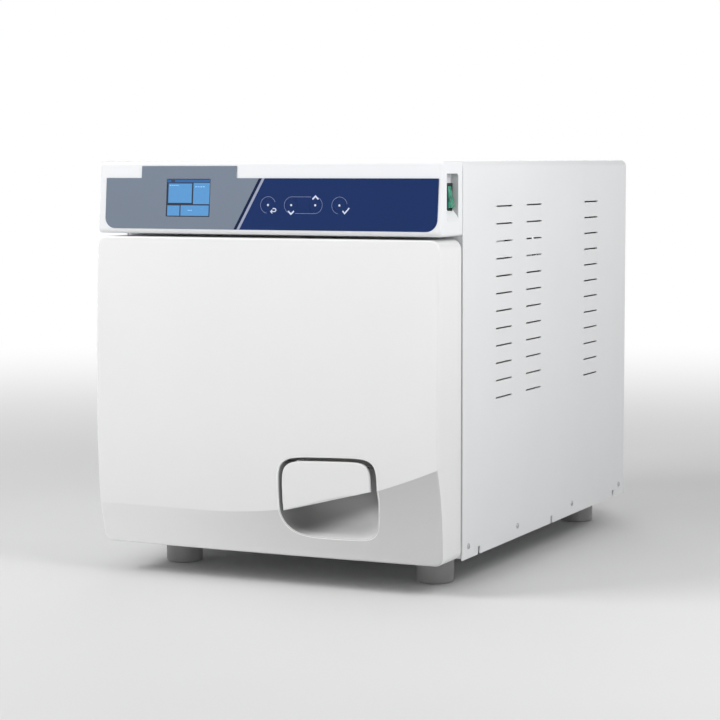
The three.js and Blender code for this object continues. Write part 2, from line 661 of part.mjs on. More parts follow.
function doorBridge() {
  const post = block([HINGE_X + 17.4, HINGE_X + 31], [-274, -262], [HINGE_HEIGHTS[0] - 18, HINGE_HEIGHTS[1] + 18]);
  const beam = block([HINGE_X + 30, 150], [BEAM[0], BEAM[1]], [CHAMBER_Z - 12, CHAMBER_Z + 12]);
  const web = block([HINGE_X + 20, HINGE_X + 40], [BEAM[0], -262], [CHAMBER_Z - 12, CHAMBER_Z + 12]);
  return cut(join(post, web, beam), rod("y", BOLT_RADIUS + GAP, -300, DOOR_REAR, [0, 0, CHAMBER_Z]));
}

part("door_cover", doorCover(), "doorPlastic", door);
part("door_liner", doorLiner(), "doorPlastic", door);
part("door_plate", doorPlate(), "stainless", door, [0, DOOR_REAR, CHAMBER_Z]);
const gasketFaces = [DOOR_REAR - 0.1, CHAMBER_MOUTH - GAP];
part("door_gasket", ring(FLANGE_RADIUS - 12, FLANGE_RADIUS - 2, ...gasketFaces, 40), "silicone", door, [0, 0, CHAMBER_Z]);
part("door_bridge", doorBridge(), "zincSheet", door);
const plateBolt = join(
  rod("y", BOLT_RADIUS, BEAM[0] - 2, DOOR_REAR - 8.4, [0, 0, 0], 20),
  rod("y", 12, BEAM[0] - 8, BEAM[0] - GAP, [0, 0, 0], 6),
);
part("plate_bolt", plateBolt, "zincSheet", door, [0, 0, CHAMBER_Z]);

// ---------- hinges ----------
function hingeArm() {
  return cut(
    join(rod("z", 7.5, -6, 6, [0, 0, 0]), block([-ARM_HALF, ARM_HALF], [0, 40], [-6, 6])),
    rod("z", HINGE_PIN_RADIUS + 0.35, -7, 7, [0, 0, 0]),
  );
}

function hingeKnuckle() {
  return cut(
    block([-8, 17], [-9, 11.5], [-18, 18]),
    block([-9, 9], [-10, 13], [-HINGE_SLOT, HINGE_SLOT]),
    rod("z", HINGE_PIN_RADIUS + 0.3, -19, 19, [0, 0, 0]),
  );
}

HINGE_HEIGHTS.forEach((z, i) => {
  const end = i ? "upper" : "lower";
  const spot = [HINGE_X, HINGE_Y, z];
  part(`hinge_arm_${end}`, hingeArm(), "zincSheet", autoclave, spot);
  part(`hinge_knuckle_${end}`, hingeKnuckle(), "zincSheet", door, spot);
  part(`hinge_pin_${end}`, rod("z", HINGE_PIN_RADIUS, -17, 17, [0, 0, 0]), "stainless", door, spot);
});

// ---------- door handle, latch and lock ----------
function handlePlate() {
  const { x0, x1, top, lowLeft, lowRight } = HANDLE;
  const face = cut(doorForm(0.6, DOOR_REAR), doorForm(5.6, DOOR_REAR + 1));
  const shape = outline([[x0, lowLeft], [x1, lowRight], [x1, top - HANDLE_CORNER]]);
  shape.absarc(x1 - HANDLE_CORNER, top - HANDLE_CORNER, HANDLE_CORNER, 0, Math.PI / 2);
  shape.absarc(x0 + HANDLE_CORNER, top - HANDLE_CORNER, HANDLE_CORNER, Math.PI / 2, Math.PI);
  const plate = common(face, prismY(shape, -DEPTH, 0));
  const lugs = [x0 + 12, x1 - 18].map((x) =>
    block([x, x + 6], [HANDLE_PIVOT.y - 4, HANDLE_PIVOT.y + 4], [HANDLE_PIVOT.z - 4, HANDLE_PIVOT.z + 3]),
  );
  return cut(join(plate, ...lugs), rod("x", 2.4, x0 - 1, x1 + 1, [0, HANDLE_PIVOT.y, HANDLE_PIVOT.z], 16));
}

const handle = pivot(0, HANDLE_PIVOT.y, HANDLE_PIVOT.z, door);
part("handle_plate", handlePlate(), "doorPlastic", handle);
const pinEnds = [RECESS.x0 + 6, RECESS.x1 - 6]; // the well's corners are round there
part("handle_pin", rod("x", 2, ...pinEnds, [0, 0, 0], 16), "stainless", door, [0, HANDLE_PIVOT.y, HANDLE_PIVOT.z]);

function latchHook() {
  const tongue = outline([[-4, -4], [26, -4], [26, 12], [23, 15], [19, 12], [19, 5], [-4, 5]]);
  return join(rod("x", 8, -3, 3, [0, 0, 0], 20), prismX(tongue, -3, 3));
}
const latch = pivot(LATCH.x, LATCH.y, LATCH.z, door);
part("latch_hook", latchHook(), "zincSheet", latch, [LATCH.x, LATCH.y, LATCH.z]);
const keeper = block([-11, 11], [COVER_FRONT + 4.4, COVER_FRONT + 12], [28, 38]);
part("latch_keeper", keeper, "zincSheet", autoclave, [LATCH.x, 0, LATCH.z]);

const SOLENOID = [COVER_FRONT + 4.4, COVER_FRONT + 44];
const solenoid = cut(
  block([-13, 13], SOLENOID, [-13, 13]),
  rod("y", 4.4, SOLENOID[0] - 1, SOLENOID[1] - 6, [0, 0, 0]),
);
part("lock_solenoid", solenoid, "greyPlastic", autoclave, [LOCK.x, 0, LOCK.z]);
part("lock_pin", rod("y", 4, COVER_FRONT + 0.5, COVER_FRONT + 32, [0, 0, 0]), "stainless", autoclave, [LOCK.x, 0, LOCK.z]);

export default autoclave;
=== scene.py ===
"""Looks of the benchtop autoclave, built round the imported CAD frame. Metres, +Z up, the front faces -Y."""
import math

import bmesh
import bpy
from mathutils import Matrix, Vector


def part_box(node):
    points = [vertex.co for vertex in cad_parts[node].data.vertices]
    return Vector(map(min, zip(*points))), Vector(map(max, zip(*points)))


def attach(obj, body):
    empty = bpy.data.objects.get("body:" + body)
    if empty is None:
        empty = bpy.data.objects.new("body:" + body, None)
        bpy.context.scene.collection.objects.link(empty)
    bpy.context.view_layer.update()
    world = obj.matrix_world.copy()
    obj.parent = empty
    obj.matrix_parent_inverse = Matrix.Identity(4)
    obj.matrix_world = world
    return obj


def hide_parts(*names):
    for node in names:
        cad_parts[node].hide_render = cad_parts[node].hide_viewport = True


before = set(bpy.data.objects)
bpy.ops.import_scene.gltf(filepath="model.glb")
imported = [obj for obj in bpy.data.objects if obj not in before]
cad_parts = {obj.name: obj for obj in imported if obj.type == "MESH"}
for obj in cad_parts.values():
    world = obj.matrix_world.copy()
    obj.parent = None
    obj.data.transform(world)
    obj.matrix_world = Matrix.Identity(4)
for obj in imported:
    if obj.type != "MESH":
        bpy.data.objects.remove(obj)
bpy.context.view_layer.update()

MM = 0.001

# ---- sizes read from the frame
COVER_LOW, COVER_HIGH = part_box("cover_wrap")
DOOR_LOW, DOOR_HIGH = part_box("door_cover")
HOUSING_LOW, HOUSING_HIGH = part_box("control_housing")
OVERLAY_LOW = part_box("panel_overlay")[0]
HALF = COVER_HIGH.x
FRONT = COVER_LOW.y  # the cover's front edge
REAR = COVER_HIGH.y
LOW = COVER_LOW.z
TOP = COVER_HIGH.z
DOOR_REAR = DOOR_HIGH.y
BACK_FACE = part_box("back_panel")[1].y
PAST = 0.01  # how far a cutter reaches past what it cuts


def middle_of(node):
    return tuple((a + b) / 2 for a, b in zip(*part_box(node)))


# ---- camera, light, floor
CAMERA_PLACE = (1.147, -2.5018, 0.4778)
CAMERA_AZIMUTH, CAMERA_ELEVATION, CAMERA_ROLL = 25.11, 5.12, -0.11
CAMERA_LENS = 110.66
HORIZON, OVERHEAD_SKY = 1.0, 0.36  # the sky's strength
HORIZON_FADE = (0.08, 0.22)  # where the sky turns from one to the other, as the sine of the elevation
FLOOR_SIDE = 24
FLOOR_TONES = (0.70, 0.74)
FLOOR_FADE = (0.5, 3.2)  # metres from the centre, where the floor lifts to white

# name: (place, target, size, watts)
LAMPS = {
    "key": ((-1.4, -1.45, 1.7), (-0.1, -0.25, 0.4), (1.1, 1.1), 30),
    "side": ((1.0, -0.55, 1.05), (0.2, -0.1, 0.35), (0.6, 0.6), 6.6),
    "overhead": ((0, 0.3, 2.2), (0, 0.1, 0.4), (1.6, 1.6), 7),
    "rear": ((-1.2, 2.6, 1.5), (0, 0, 0.25), (1.6, 1.4), 14),
}


def add_camera():
    a, e, r = (math.radians(v) for v in (CAMERA_AZIMUTH, CAMERA_ELEVATION, CAMERA_ROLL))
    back = Vector((math.sin(a) * math.cos(e), -math.cos(a) * math.cos(e), math.sin(e)))
    right = (-back).cross(Vector((0, 0, 1))).normalized()
    up = right.cross(-back)
    across = right * math.cos(r) + up * math.sin(r)
    upward = up * math.cos(r) - right * math.sin(r)
    data = bpy.data.cameras.new("camera")
    data.lens = CAMERA_LENS
    data.sensor_width = 36
    data.clip_start, data.clip_end = 0.05, 50
    camera = bpy.data.objects.new("camera", data)
    bpy.context.scene.collection.objects.link(camera)
    turn = Matrix((across, upward, back)).transposed().to_4x4()
    camera.matrix_world = Matrix.Translation(CAMERA_PLACE) @ turn
    bpy.context.scene.camera = camera


def add_lamp(name, place, target, size, power):
    data = bpy.data.lights.new(name, "AREA")
    data.shape = "RECTANGLE"
    data.size, data.size_y = size
    data.energy = power
    lamp = bpy.data.objects.new(name, data)
    bpy.context.scene.collection.objects.link(lamp)
    lamp.location = place
    lamp.rotation_mode = "QUATERNION"
    lamp.rotation_quaternion = (Vector(target) - Vector(place)).to_track_quat("-Z", "Y")


def soft_sky():
    """White round the horizon, dimmer overhead, so that the lamps shape the object."""
    world = bpy.data.worlds.new("studio")
    world.use_nodes = True
    tree = world.node_tree
    height = add(tree, "SeparateXYZ", {"Vector": add(tree, "TexCoord", {})["Generated"]})["Z"]
    strength = level(tree, height, HORIZON, OVERHEAD_SKY, HORIZON_FADE, "SMOOTHSTEP")
    fill(tree.nodes["Background"], {"Color": (1, 1, 1, 1), "Strength": strength})
    return world


def add_studio():
    scene = bpy.context.scene
    scene.world = soft_sky()
    scene.view_settings.view_transform = "Standard"
    scene.view_settings.look = "None"
    for name, settings in LAMPS.items():
        add_lamp(name, *settings)
    side = FLOOR_SIDE / 2
    corners = [(-side, -side, 0), (side, -side, 0), (side, side, 0), (-side, side, 0)]
    mesh = bpy.data.meshes.new("floor")
    mesh.from_pydata(corners, [], [(0, 1, 2, 3)])
    floor = bpy.data.objects.new("floor", mesh)
    scene.collection.objects.link(floor)
    floor.data.materials.append(plain_floor())


# ---- building materials
MATERIALS = {}


def fill(node, inputs):
    """Sets a node's inputs, each to a number or to another node's output."""
    for key, value in inputs.items():
        if isinstance(value, bpy.types.NodeSocket):
            node.id_data.links.new(value, node.inputs[key])
        else:
            node.inputs[key].default_value = value


def add(tree, kind, inputs, **settings):
    """Adds a node and gives its outputs."""
    node = tree.nodes.new("ShaderNode" + kind)
    for key, value in settings.items():
        setattr(node, key, value)
    fill(node, inputs)
    return node.outputs


def new_surface(name):
    material = bpy.data.materials.new(name)
    material.use_nodes = True
    MATERIALS[name] = material
    return material.node_tree


def shade(tree, inputs):
    fill(tree.nodes["Principled BSDF"], inputs)


def object_place(tree):
    return add(tree, "TexCoord", {})["Object"]


def noise(tree, scale, detail=3.0, stretch=(1, 1, 1)):
    """Noise in the object's own space, in features per metre."""
    place = add(tree, "Mapping", {"Vector": object_place(tree), "Scale": stretch})["Vector"]
    return add(tree, "TexNoise", {"Vector": place, "Scale": scale, "Detail": detail, "Roughness": 0.5})["Fac"]


def ramp(tree, source, stops):
    """Colours at places along source."""
    node = tree.nodes.new("ShaderNodeValToRGB")
    fill(node, {"Fac": source})
    for element, (place, colour) in zip(node.color_ramp.elements, stops):
        element.position = place
        element.color = (*colour, 1)
    return node.outputs["Color"]


def level(tree, source, low, high, span=(0, 1), kind="LINEAR"):
    """Maps a span of source onto low to high."""
    inputs = {"Value": source, "From Min": span[0], "From Max": span[1], "To Min": low, "To Max": high}
    return add(tree, "MapRange", inputs, interpolation_type=kind)["Result"]


def bump(tree, source, depth):
    return add(tree, "Bump", {"Height": source, "Distance": depth})["Normal"]


def tones(colour, place, lower, upper):
    """Two stops of a ramp, set evenly about its middle, at shares of a colour."""
    stops = ((place, lower), (1 - place, upper))
    return [(at, tuple(min(1, c * share) for c in colour)) for at, share in stops]


def plain_floor():
    """Pale grey under the object, lifting to white far from it, so that no horizon shows."""
    tree = new_surface("floor")
    stops = [(place, (tone,) * 3) for place, tone in enumerate(FLOOR_TONES)]
    shade(tree, {
        "Base Color": ramp(tree, noise(tree, 2.0, 2), stops),
        "Roughness": 0.9,
        "Specular IOR Level": 0.1,
    })
    distance = add(tree, "VectorMath", {0: object_place(tree)}, operation="LENGTH")["Value"]
    blend = add(tree, "MixShader", {
        "Fac": level(tree, distance, 0, 1, FLOOR_FADE, "SMOOTHSTEP"),
        1: tree.nodes["Principled BSDF"].outputs["BSDF"],
        2: add(tree, "Emission", {})["Emission"],
    })
    fill(tree.nodes["Material Output"], {"Surface": blend["Shader"]})
    return MATERIALS["floor"]


def coated(name, colour, roughness, grain, grain_depth, mottle, coat=0.0, specular=0.5):
    """Paint or moulded plastic: slow tone drift, a fine surface texture and uneven gloss."""
    tree = new_surface(name)
    shade(tree, {
        "Base Color": ramp(tree, noise(tree, 9, 3), tones(colour, 0.3, 1 - mottle, 1 + mottle / 2)),
        "Roughness": level(tree, noise(tree, 40, 4), roughness * 0.88, roughness * 1.12),
        "Normal": bump(tree, noise(tree, grain, 2), grain_depth),
        "Coat Weight": coat,
        "Coat Roughness": 0.12,
        "Specular IOR Level": specular,
    })


def painted_shade_ramp(name, first, last, direction, span):
    """Smooth plastic with painted shade: its grey goes from first to last along a direction, over a span of
    places.
    """
    tree = new_surface(name)
    place = add(tree, "VectorMath", {0: object_place(tree), 1: direction}, operation="DOT_PRODUCT")["Value"]
    eased = level(tree, place, 0, 1, span, "SMOOTHSTEP")
    shade(tree, {
        "Base Color": ramp(tree, eased, [(0, (first,) * 3), (1, (last,) * 3)]),
        "Roughness": level(tree, noise(tree, 40, 4), 0.3, 0.38),
        "Normal": bump(tree, noise(tree, SMOOTH_GRAIN, 2), SMOOTH_DEPTH),
    })


def metal(name, colour, roughness, brush, scale=22):
    """Metal with drawn lines across the stretched axes and a slow patina."""
    tree = new_surface(name)
    lines = noise(tree, scale, 4, brush)
    shade(tree, {
        "Base Color": ramp(tree, noise(tree, 12, 4), tones(colour, 0.25, 0.94, 1.03)),
        "Metallic": 1,
        "Roughness": level(tree, lines, roughness * 0.7, roughness * 1.35),
        "Normal": bump(tree, lines, 0.00001),
    })


def spangled(name, colour, roughness):
    """Zinc-plated sheet with faint crystals."""
    tree = new_surface(name)
    cells = add(tree, "TexVoronoi", {"Vector": object_place(tree), "Scale": 160})["Distance"]
    shade(tree, {
        "Base Color": ramp(tree, cells, tones(colour, 0.1, 0.9, 1.06)),
        "Metallic": 0.9,
        "Roughness": level(tree, noise(tree, 60), roughness * 0.8, roughness * 1.3),
        "Normal": bump(tree, noise(tree, 500), 0.00001),
    })


def glowing(name, colour, strength, coat, roughness=0.25):
    """A lit display area, with a faint pixel grain."""
    tree = new_surface(name)
    grain = noise(tree, 1400, 1)
    shade(tree, {
        "Base Color": ramp(tree, grain, tones(colour, 0.3, 0.35, 0.42)),
        "Emission Color": ramp(tree, grain, tones(colour, 0.3, 0.9, 1.06)),
        "Emission Strength": strength,
        "Roughness": roughness,
        "Coat Weight": coat,
    })


def clear_green(name):
    """Translucent rocker plastic lit from behind."""
    tree = new_surface(name)
    green = ramp(tree, noise(tree, 120, 2), [(0.3, (0.006, 0.10, 0.062)), (0.7, (0.03, 0.30, 0.18))])
    shade(tree, {
        "Base Color": green,
        "Emission Color": green,
        "Emission Strength": 0.35,
        "Roughness": 0.14,
        "Coat Weight": 0.6,
        "Normal": bump(tree, noise(tree, 700), 0.00002),
    })


SMOOTH_GRAIN, SMOOTH_DEPTH = 1500, 0.000012  # the finest moulded surface: features per metre, and metres
MOULDED = (SMOOTH_GRAIN, SMOOTH_DEPTH, 0.008)
FILM = (2400, 0.000006, 0.03)
INK = (2400, 0.000004, 0.03)


def make_materials():
    coated("cover_paint", (0.79, 0.80, 0.81), 0.42, 1300, 0.00003, 0.012)
    coated("door_plastic", (0.82, 0.82, 0.82), 0.34, *MOULDED, coat=0.15)
    coated("housing_plastic", (0.82, 0.83, 0.85), 0.34, *MOULDED, coat=0.15)
    # painted highlight: the well's lip is whiter than the door, standing in for light caught on its rim
    coated("lip_painted_highlight", (0.95, 0.95, 0.95), 0.25, *MOULDED, coat=0.3)
    # painted shade: a dark grey for the rocker pocket's rear and upper walls, where shade falls
    coated("pocket_painted_shade", (0.42, 0.44, 0.44), 0.45, SMOOTH_GRAIN, SMOOTH_DEPTH, 0.02)
    # painted shade: the scoop darkens towards its upper left, under the handle plate
    painted_shade_ramp("scoop_painted_shade", 0.34, 0.93, (0.35, 0, -0.93), (-0.050, -0.030))
    # painted shade: the facet below the crease darkens towards the right
    painted_shade_ramp("facet_painted_shade", 0.82, 0.60, (1, 0, 0), (-0.19, 0.20))
    coated("overlay_blue", (0.0085, 0.0280, 0.118), 0.3, *FILM, specular=0.14)
    coated("overlay_grey", (0.185, 0.222, 0.282), 0.32, *FILM, specular=0.14)
    coated("overlay_navy", (0.006, 0.013, 0.05), 0.3, *FILM, specular=0.14)
    coated("overlay_pale", (0.33, 0.36, 0.48), 0.3, *FILM, specular=0.14)
    coated("icon_white", (0.62, 0.68, 0.86), 0.4, *INK)
    coated("icon_line", (0.22, 0.26, 0.48), 0.4, *INK)
    glowing("display_pane", (0.085, 0.29, 0.60), 0.68, 0.1)
    glowing("display_bar", (0.02, 0.12, 0.34), 0.6, 0.1)
    glowing("display_dark", (0.004, 0.018, 0.06), 0.1, 0.0, 0.5)
    glowing("display_mark", (0.30, 0.60, 0.90), 0.8, 0.1)
    spangled("zinc_sheet", (0.60, 0.61, 0.62), 0.36)
    metal("stainless", (0.70, 0.70, 0.69), 0.24, (60, 1, 60))
    metal("stainless_turned", (0.70, 0.70, 0.69), 0.22, (1, 70, 1), 30)
    metal("aluminium", (0.62, 0.63, 0.65), 0.38, (1, 1, 40))
    metal("brass", (0.60, 0.42, 0.16), 0.28, (1, 30, 1))
    metal("dark_steel", (0.10, 0.10, 0.11), 0.4, (60, 1, 60))
    coated("black_plastic", (0.014, 0.014, 0.016), 0.42, 1100, 0.00003, 0.1)
    coated("grey_plastic", (0.16, 0.17, 0.18), 0.5, 1100, 0.00003, 0.06)
    coated("tank_plastic", (0.62, 0.68, 0.71), 0.4, 700, 0.00003, 0.04)
    coated("silicone", (0.50, 0.47, 0.40), 0.62, 1600, 0.00002, 0.06, specular=0.35)
    coated("foot_rubber", (0.33, 0.33, 0.33), 0.5, 1700, 0.00004, 0.10)
    coated("insulation", (0.55, 0.50, 0.38), 0.95, 260, 0.0012, 0.22, specular=0.1)
    coated("circuit_board", (0.015, 0.13, 0.05), 0.35, 300, 0.00006, 0.2)
    clear_green("rocker_green")


# ---- mesh building
def mesh_object(name, vertices, faces, materials, smooth=True):
    mesh = bpy.data.meshes.new(name)
    mesh.from_pydata([tuple(v) for v in vertices], [], faces)
    piece = bpy.data.objects.new(name, mesh)
    bpy.context.scene.collection.objects.link(piece)
    for key in [materials] if isinstance(materials, str) else materials:
        mesh.materials.append(MATERIALS[key])
    mesh.validate()
    turn_outward(mesh)
    if smooth:
        mesh.shade_smooth()
    return piece


def turn_outward(mesh):
    """Merges the points that coincide and turns every face outward."""
    work = bmesh.new()
    work.from_mesh(mesh)
    bmesh.ops.remove_doubles(work, verts=work.verts, dist=1e-6)
    bmesh.ops.recalc_face_normals(work, faces=work.faces)
    work.to_mesh(mesh)
    work.free()


def bake(piece):
    """Applies the piece's modifiers."""
    graph = bpy.context.evaluated_depsgraph_get()
    mesh = bpy.data.meshes.new_from_object(piece.evaluated_get(graph))
    piece.modifiers.clear()
    piece.data = mesh
    return piece


def thicken(piece, thickness):
    """Gives a skin thickness on its inner side."""
    modifier = piece.modifiers.new("thickness", "SOLIDIFY")
    modifier.thickness = thickness
    modifier.offset = -1
    modifier.use_even_offset = True
    return bake(piece)


def soften(piece, width, segments=3):
    """Rounds the sharp edges."""
    piece.data.shade_smooth()
    modifier = piece.modifiers.new("edges", "BEVEL")
    modifier.width = width
    modifier.segments = segments
    modifier.limit_method = "ANGLE"
    modifier.angle_limit = math.radians(35)
    modifier.harden_normals = True
    modifier.miter_outer = "MITER_ARC"
    return piece


def crisp(piece, angle=35):
    """Shades the piece smooth, except across edges sharper than an angle."""
    piece.data.shade_smooth()
    piece.data.set_sharp_from_angle(angle=math.radians(angle))
    return piece


def carve(piece, *cutters):
    for cutter in cutters:
        modifier = piece.modifiers.new("cut", "BOOLEAN")
        modifier.operation = "DIFFERENCE"
        modifier.object = cutter
        modifier.solver = "EXACT"
        bake(piece)
        bpy.data.objects.remove(cutter)
    return piece


def finish_piece(piece, slot, *replaced, body="cabinet"):
    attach(piece, body)
    if replaced:
        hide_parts(*replaced)


def grid_faces(rows, columns, wrap=False):
    """Quads between rows of points; wrap closes each row on itself."""
    faces = []
    last = columns if wrap else columns - 1
    for r in range(rows - 1):
        for c in range(last):
            d = (c + 1) % columns
            near, far = r * columns, (r + 1) * columns
            faces.append((near + c, near + d, far + d, far + c))
    return faces


def loft(name, loops, materials, cap_start=False, cap_end=False):
    """A skin through closed loops of equal length."""
    count = len(loops[0])
    faces = grid_faces(len(loops), count, wrap=True)
    if cap_start:
        faces.append(tuple(range(count)))
    if cap_end:
        faces.append(tuple(range((len(loops) - 1) * count, len(loops) * count)))
    return mesh_object(name, [p for loop in loops for p in loop], faces, materials)


def lathe(name, profile, centre, axis, materials, segments=96):
    """Turned about an axis from (radius, distance along it) pairs, closed on itself or on the axis."""
    unit = {"x": Vector((1, 0, 0)), "y": Vector((0, 1, 0)), "z": Vector((0, 0, 1))}
    u, v, w = (unit[key] for key in {"x": "yzx", "y": "zxy", "z": "xyz"}[axis])
    loops = []
    for radius, along in profile:
        loop = []
        for i in range(segments):
            angle = math.tau * i / segments
            aside = (u * math.cos(angle) + v * math.sin(angle)) * radius
            loop.append(Vector(centre) + aside + w * along)
        loops.append(loop)
    return loft(name, loops, materials)


def slab(name, outline, place, low, high, materials=()):
    """A prism of a flat outline; place(u, v, w) puts (u, v) of the outline at w along its depth."""
    count = len(outline)
    vertices = [place(u, v, w) for w in (low, high) for u, v in outline]
    faces = [tuple(range(count)), tuple(range(count, 2 * count))]
    faces += grid_faces(2, count, wrap=True)
    return mesh_object(name, vertices, faces, materials, smooth=False)


def in_xy(u, v, w):
    return (u, v, w)


def in_xz(u, v, w):
    return (u, w, v)


def in_yz(u, v, w):
    return (w, u, v)


def box_piece(name, low, high, materials=()):
    outline = [(low[0], low[1]), (high[0], low[1]), (high[0], high[1]), (low[0], high[1])]
    return slab(name, outline, in_xy, low[2], high[2], materials)


def arc(centre, radius, start, end, steps):
    """Points on an arc, in degrees, both ends included."""
    points = []
    for i in range(steps + 1):
        angle = math.radians(start + (end - start) * i / steps)
        points.append((centre[0] + radius * math.cos(angle), centre[1] + radius * math.sin(angle)))
    return points


def rounded(x0, x1, y0, y1, low_radius, high_radius=None, steps=8):
    """A rectangle with round corners, anticlockwise from the lower right corner."""
    high_radius = low_radius if high_radius is None else high_radius
    points = arc((x1 - low_radius, y0 + low_radius), low_radius, -90, 0, steps)
    points += arc((x1 - high_radius, y1 - high_radius), high_radius, 0, 90, steps)
    points += arc((x0 + high_radius, y1 - high_radius), high_radius, 90, 180, steps)
    points += arc((x0 + low_radius, y0 + low_radius), low_radius, 180, 270, steps)
    return points


def neighbours(points, i, closed):
    """The points before and after the one at i; an open path's ends have themselves for one of them."""
    last = len(points) - 1
    before = points[i - 1] if i or closed else points[i]
    after = points[(i + 1) % len(points)] if i < last or closed else points[i]
    return before, after


def tube(name, path, radius, materials, closed=False):
    """A round bar along a path of points."""
    sides = 10
    turns = [math.tau * k / sides for k in range(sides)]
    points = [Vector(p) for p in path]
    loops = []
    for i, point in enumerate(points):
        before, after = neighbours(points, i, closed)
        along = (after - before).normalized()
        aside = along.cross(Vector((0, 0, 1)))
        if aside.length < 0.1:
            aside = along.cross(Vector((0, 1, 0)))
        aside.normalize()
        other = along.cross(aside)
        loops.append([point + (aside * math.cos(t) + other * math.sin(t)) * radius for t in turns])
    if closed:
        loops.append(loops[0])
    return loft(name, loops, materials, not closed, not closed)


def clamped(value):
    return min(1, max(0, value))


def quarter(steps):
    """Angles over a quarter turn, both ends included."""
    return [math.radians(90 * i / steps) for i in range(steps + 1)]


# ---- door
# Distances of the face's shape are in mm, from the cover's front edge and lower edge.
CREASE_LOW, CREASE_RISE, CREASE_START, CREASE_RUN = 48.4, 62.3, -74, 289
FACET_POWER = (1.2, 2.6)  # the facet is hollow, and more so where the crease is high
FACE_DEPTH, FACET_DEPTH, CROWN = 72, 56, 4
WIDEST, UPPER_FALL, LOWER_FALL = 150, 1.8e-4, 5e-4
FACET_SHADE_DEPTH = 50  # the facet's painted shade ends this far in front of the cover

DOOR_EDGE = 2.2 * MM  # radius of the rolled edge round the face
DOOR_WALL = 2.5 * MM
KNUCKLE_ROOM = 0.007  # half the height of the room for a hinge knuckle
LOW_RADIUS, HIGH_RADIUS = 7.5 * MM, 10 * MM
CORNER_ROWS, FACE_COLUMNS, EDGE_STEPS = 8, 49, 6
FACET_ROWS = (0.25, 0.5, 0.72, 0.88, 0.96, 0.99, 1.0)  # shares of the way up to the crease
BODY_ROWS = (0.004, 0.012, 0.035, 0.08, *(0.12 + 0.08 * i for i in range(11)), 1.0)  # and on from it


def crease_share(x):
    return max(0, (x - CREASE_START) / CREASE_RUN)


def crease_height(x):
    """Height of the face's crease above the cover's lower edge, at x, in mm."""
    return CREASE_LOW + CREASE_RISE * crease_share(x) ** 2


def door_face(x, z):
    """The face's y at x and z, in metres."""
    across, height = x / MM, (z - LOW) / MM
    crease = crease_height(across)

    def curved(h):
        return FACE_DEPTH - (UPPER_FALL if h > WIDEST else LOWER_FALL) * (h - WIDEST) ** 2

    depth = CROWN * (1 - (x / HALF) ** 2)
    if height >= crease:
        depth += curved(height)
    else:
        power = FACET_POWER[0] + (FACET_POWER[1] - FACET_POWER[0]) * crease_share(across)
        depth += FACET_DEPTH + (curved(crease) - FACET_DEPTH) * max(0, height / crease) ** power
    return FRONT - depth * MM


def face_rows(side, low, high):
    """Rows of points over the face from its lower edge up, close together at the corners and the crease."""
    columns = [-1 + 2 * i / (FACE_COLUMNS - 1) for i in range(FACE_COLUMNS)]
    start, end = low + LOW_RADIUS, high - HIGH_RADIUS
    rows = []
    for i in range(CORNER_ROWS + 1):
        angle = math.radians(-90 + 90 * i / CORNER_ROWS)
        z = low + LOW_RADIUS * (1 + math.sin(angle))
        reach = side - LOW_RADIUS * (1 - math.cos(angle))
        rows.append([(reach * u, z) for u in columns])
    creases = [LOW + crease_height(side * u / MM) * MM for u in columns]
    for share in FACET_ROWS:
        rows.append([(side * u, start + (crease - start) * share) for u, crease in zip(columns, creases)])
    for share in BODY_ROWS:
        rows.append([(side * u, crease + (end - crease) * share) for u, crease in zip(columns, creases)])
    for angle in quarter(CORNER_ROWS)[1:]:
        z = end + HIGH_RADIUS * math.sin(angle)
        reach = side - HIGH_RADIUS * (1 - math.cos(angle))
        rows.append([(reach * u, z) for u in columns])
    points = [Vector((x, 0, z)) for row in rows for x, z in row]
    for point in points:
        point.y = door_face(point.x, point.z)
    return points, len(rows)


def rim_of_grid(rows, columns):
    """Indices of a grid's outer points, from its first corner round."""
    rim = list(range(columns))
    rim += [r * columns + columns - 1 for r in range(1, rows)]
    rim += [(rows - 1) * columns + c for c in range(columns - 2, -1, -1)]
    rim += [r * columns for r in range(rows - 2, 0, -1)]
    return rim


def door_skin():
    """The door's outer skin: a gridded face, a small rounded edge and flat sides back to the rear."""
    side, low, high = HALF - DOOR_EDGE, DOOR_LOW.z + DOOR_EDGE, DOOR_HIGH.z - DOOR_EDGE
    vertices, count = face_rows(side, low, high)
    faces = grid_faces(count, FACE_COLUMNS)
    rim = rim_of_grid(count, FACE_COLUMNS)
    halfway = 0.2
    outward = []
    for index in rim:
        p = vertices[index]
        straight = side - (HIGH_RADIUS if p.z > halfway else LOW_RADIUS)
        across = math.copysign(max(0, abs(p.x) - straight), p.x)
        upward = max(0, p.z - (high - HIGH_RADIUS)) + min(0, p.z - (low + LOW_RADIUS))
        outward.append(Vector((across, 0, upward)).normalized())
    previous = rim
    angles = quarter(EDGE_STEPS)
    for i, angle in enumerate(angles[1:] + angles[-1:]):
        ring = []
        for index, away in zip(rim, outward):
            base = vertices[index]
            y = base.y + DOOR_EDGE * (1 - math.cos(angle)) if i < EDGE_STEPS else DOOR_REAR
            point = base + away * DOOR_EDGE * math.sin(angle)
            ring.append(len(vertices))
            vertices.append(Vector((point.x, y, point.z)))
        for k in range(len(rim)):
            n = (k + 1) % len(rim)
            faces.append((previous[k], previous[n], ring[n], ring[k]))
        previous = ring
    return mesh_object("door_shell", vertices, faces, "door_plastic")


# The finger well: a rounded opening with slightly bowed sides, and a scoop behind it.
WELL_LOW = Vector((22.6 * MM, 0, LOW + 26.6 * MM))
WELL_HIGH = Vector((142.6 * MM, 0, LOW + 117.4 * MM))
WELL_HEART = Vector((72 * MM, 0, LOW + 84 * MM))  # the walls draw in towards it
WELL_BACK = DOOR_REAR - 24.2 * MM
WELL_POWERS = (6.0, 5.4, 7.0, 3.4)  # upper right, upper left, lower right, lower left
WELL_TAPER, TOP_SLOPE = 0.08, 0.032
WELL_GAP = 0.4 * MM
LIP, LIP_STEPS, SCOOP_STEPS = 2.3 * MM, 6, 22
STEEP, GENTLE = 0.16, 0.62  # share of the way in that a wall takes, and how much more the floor takes


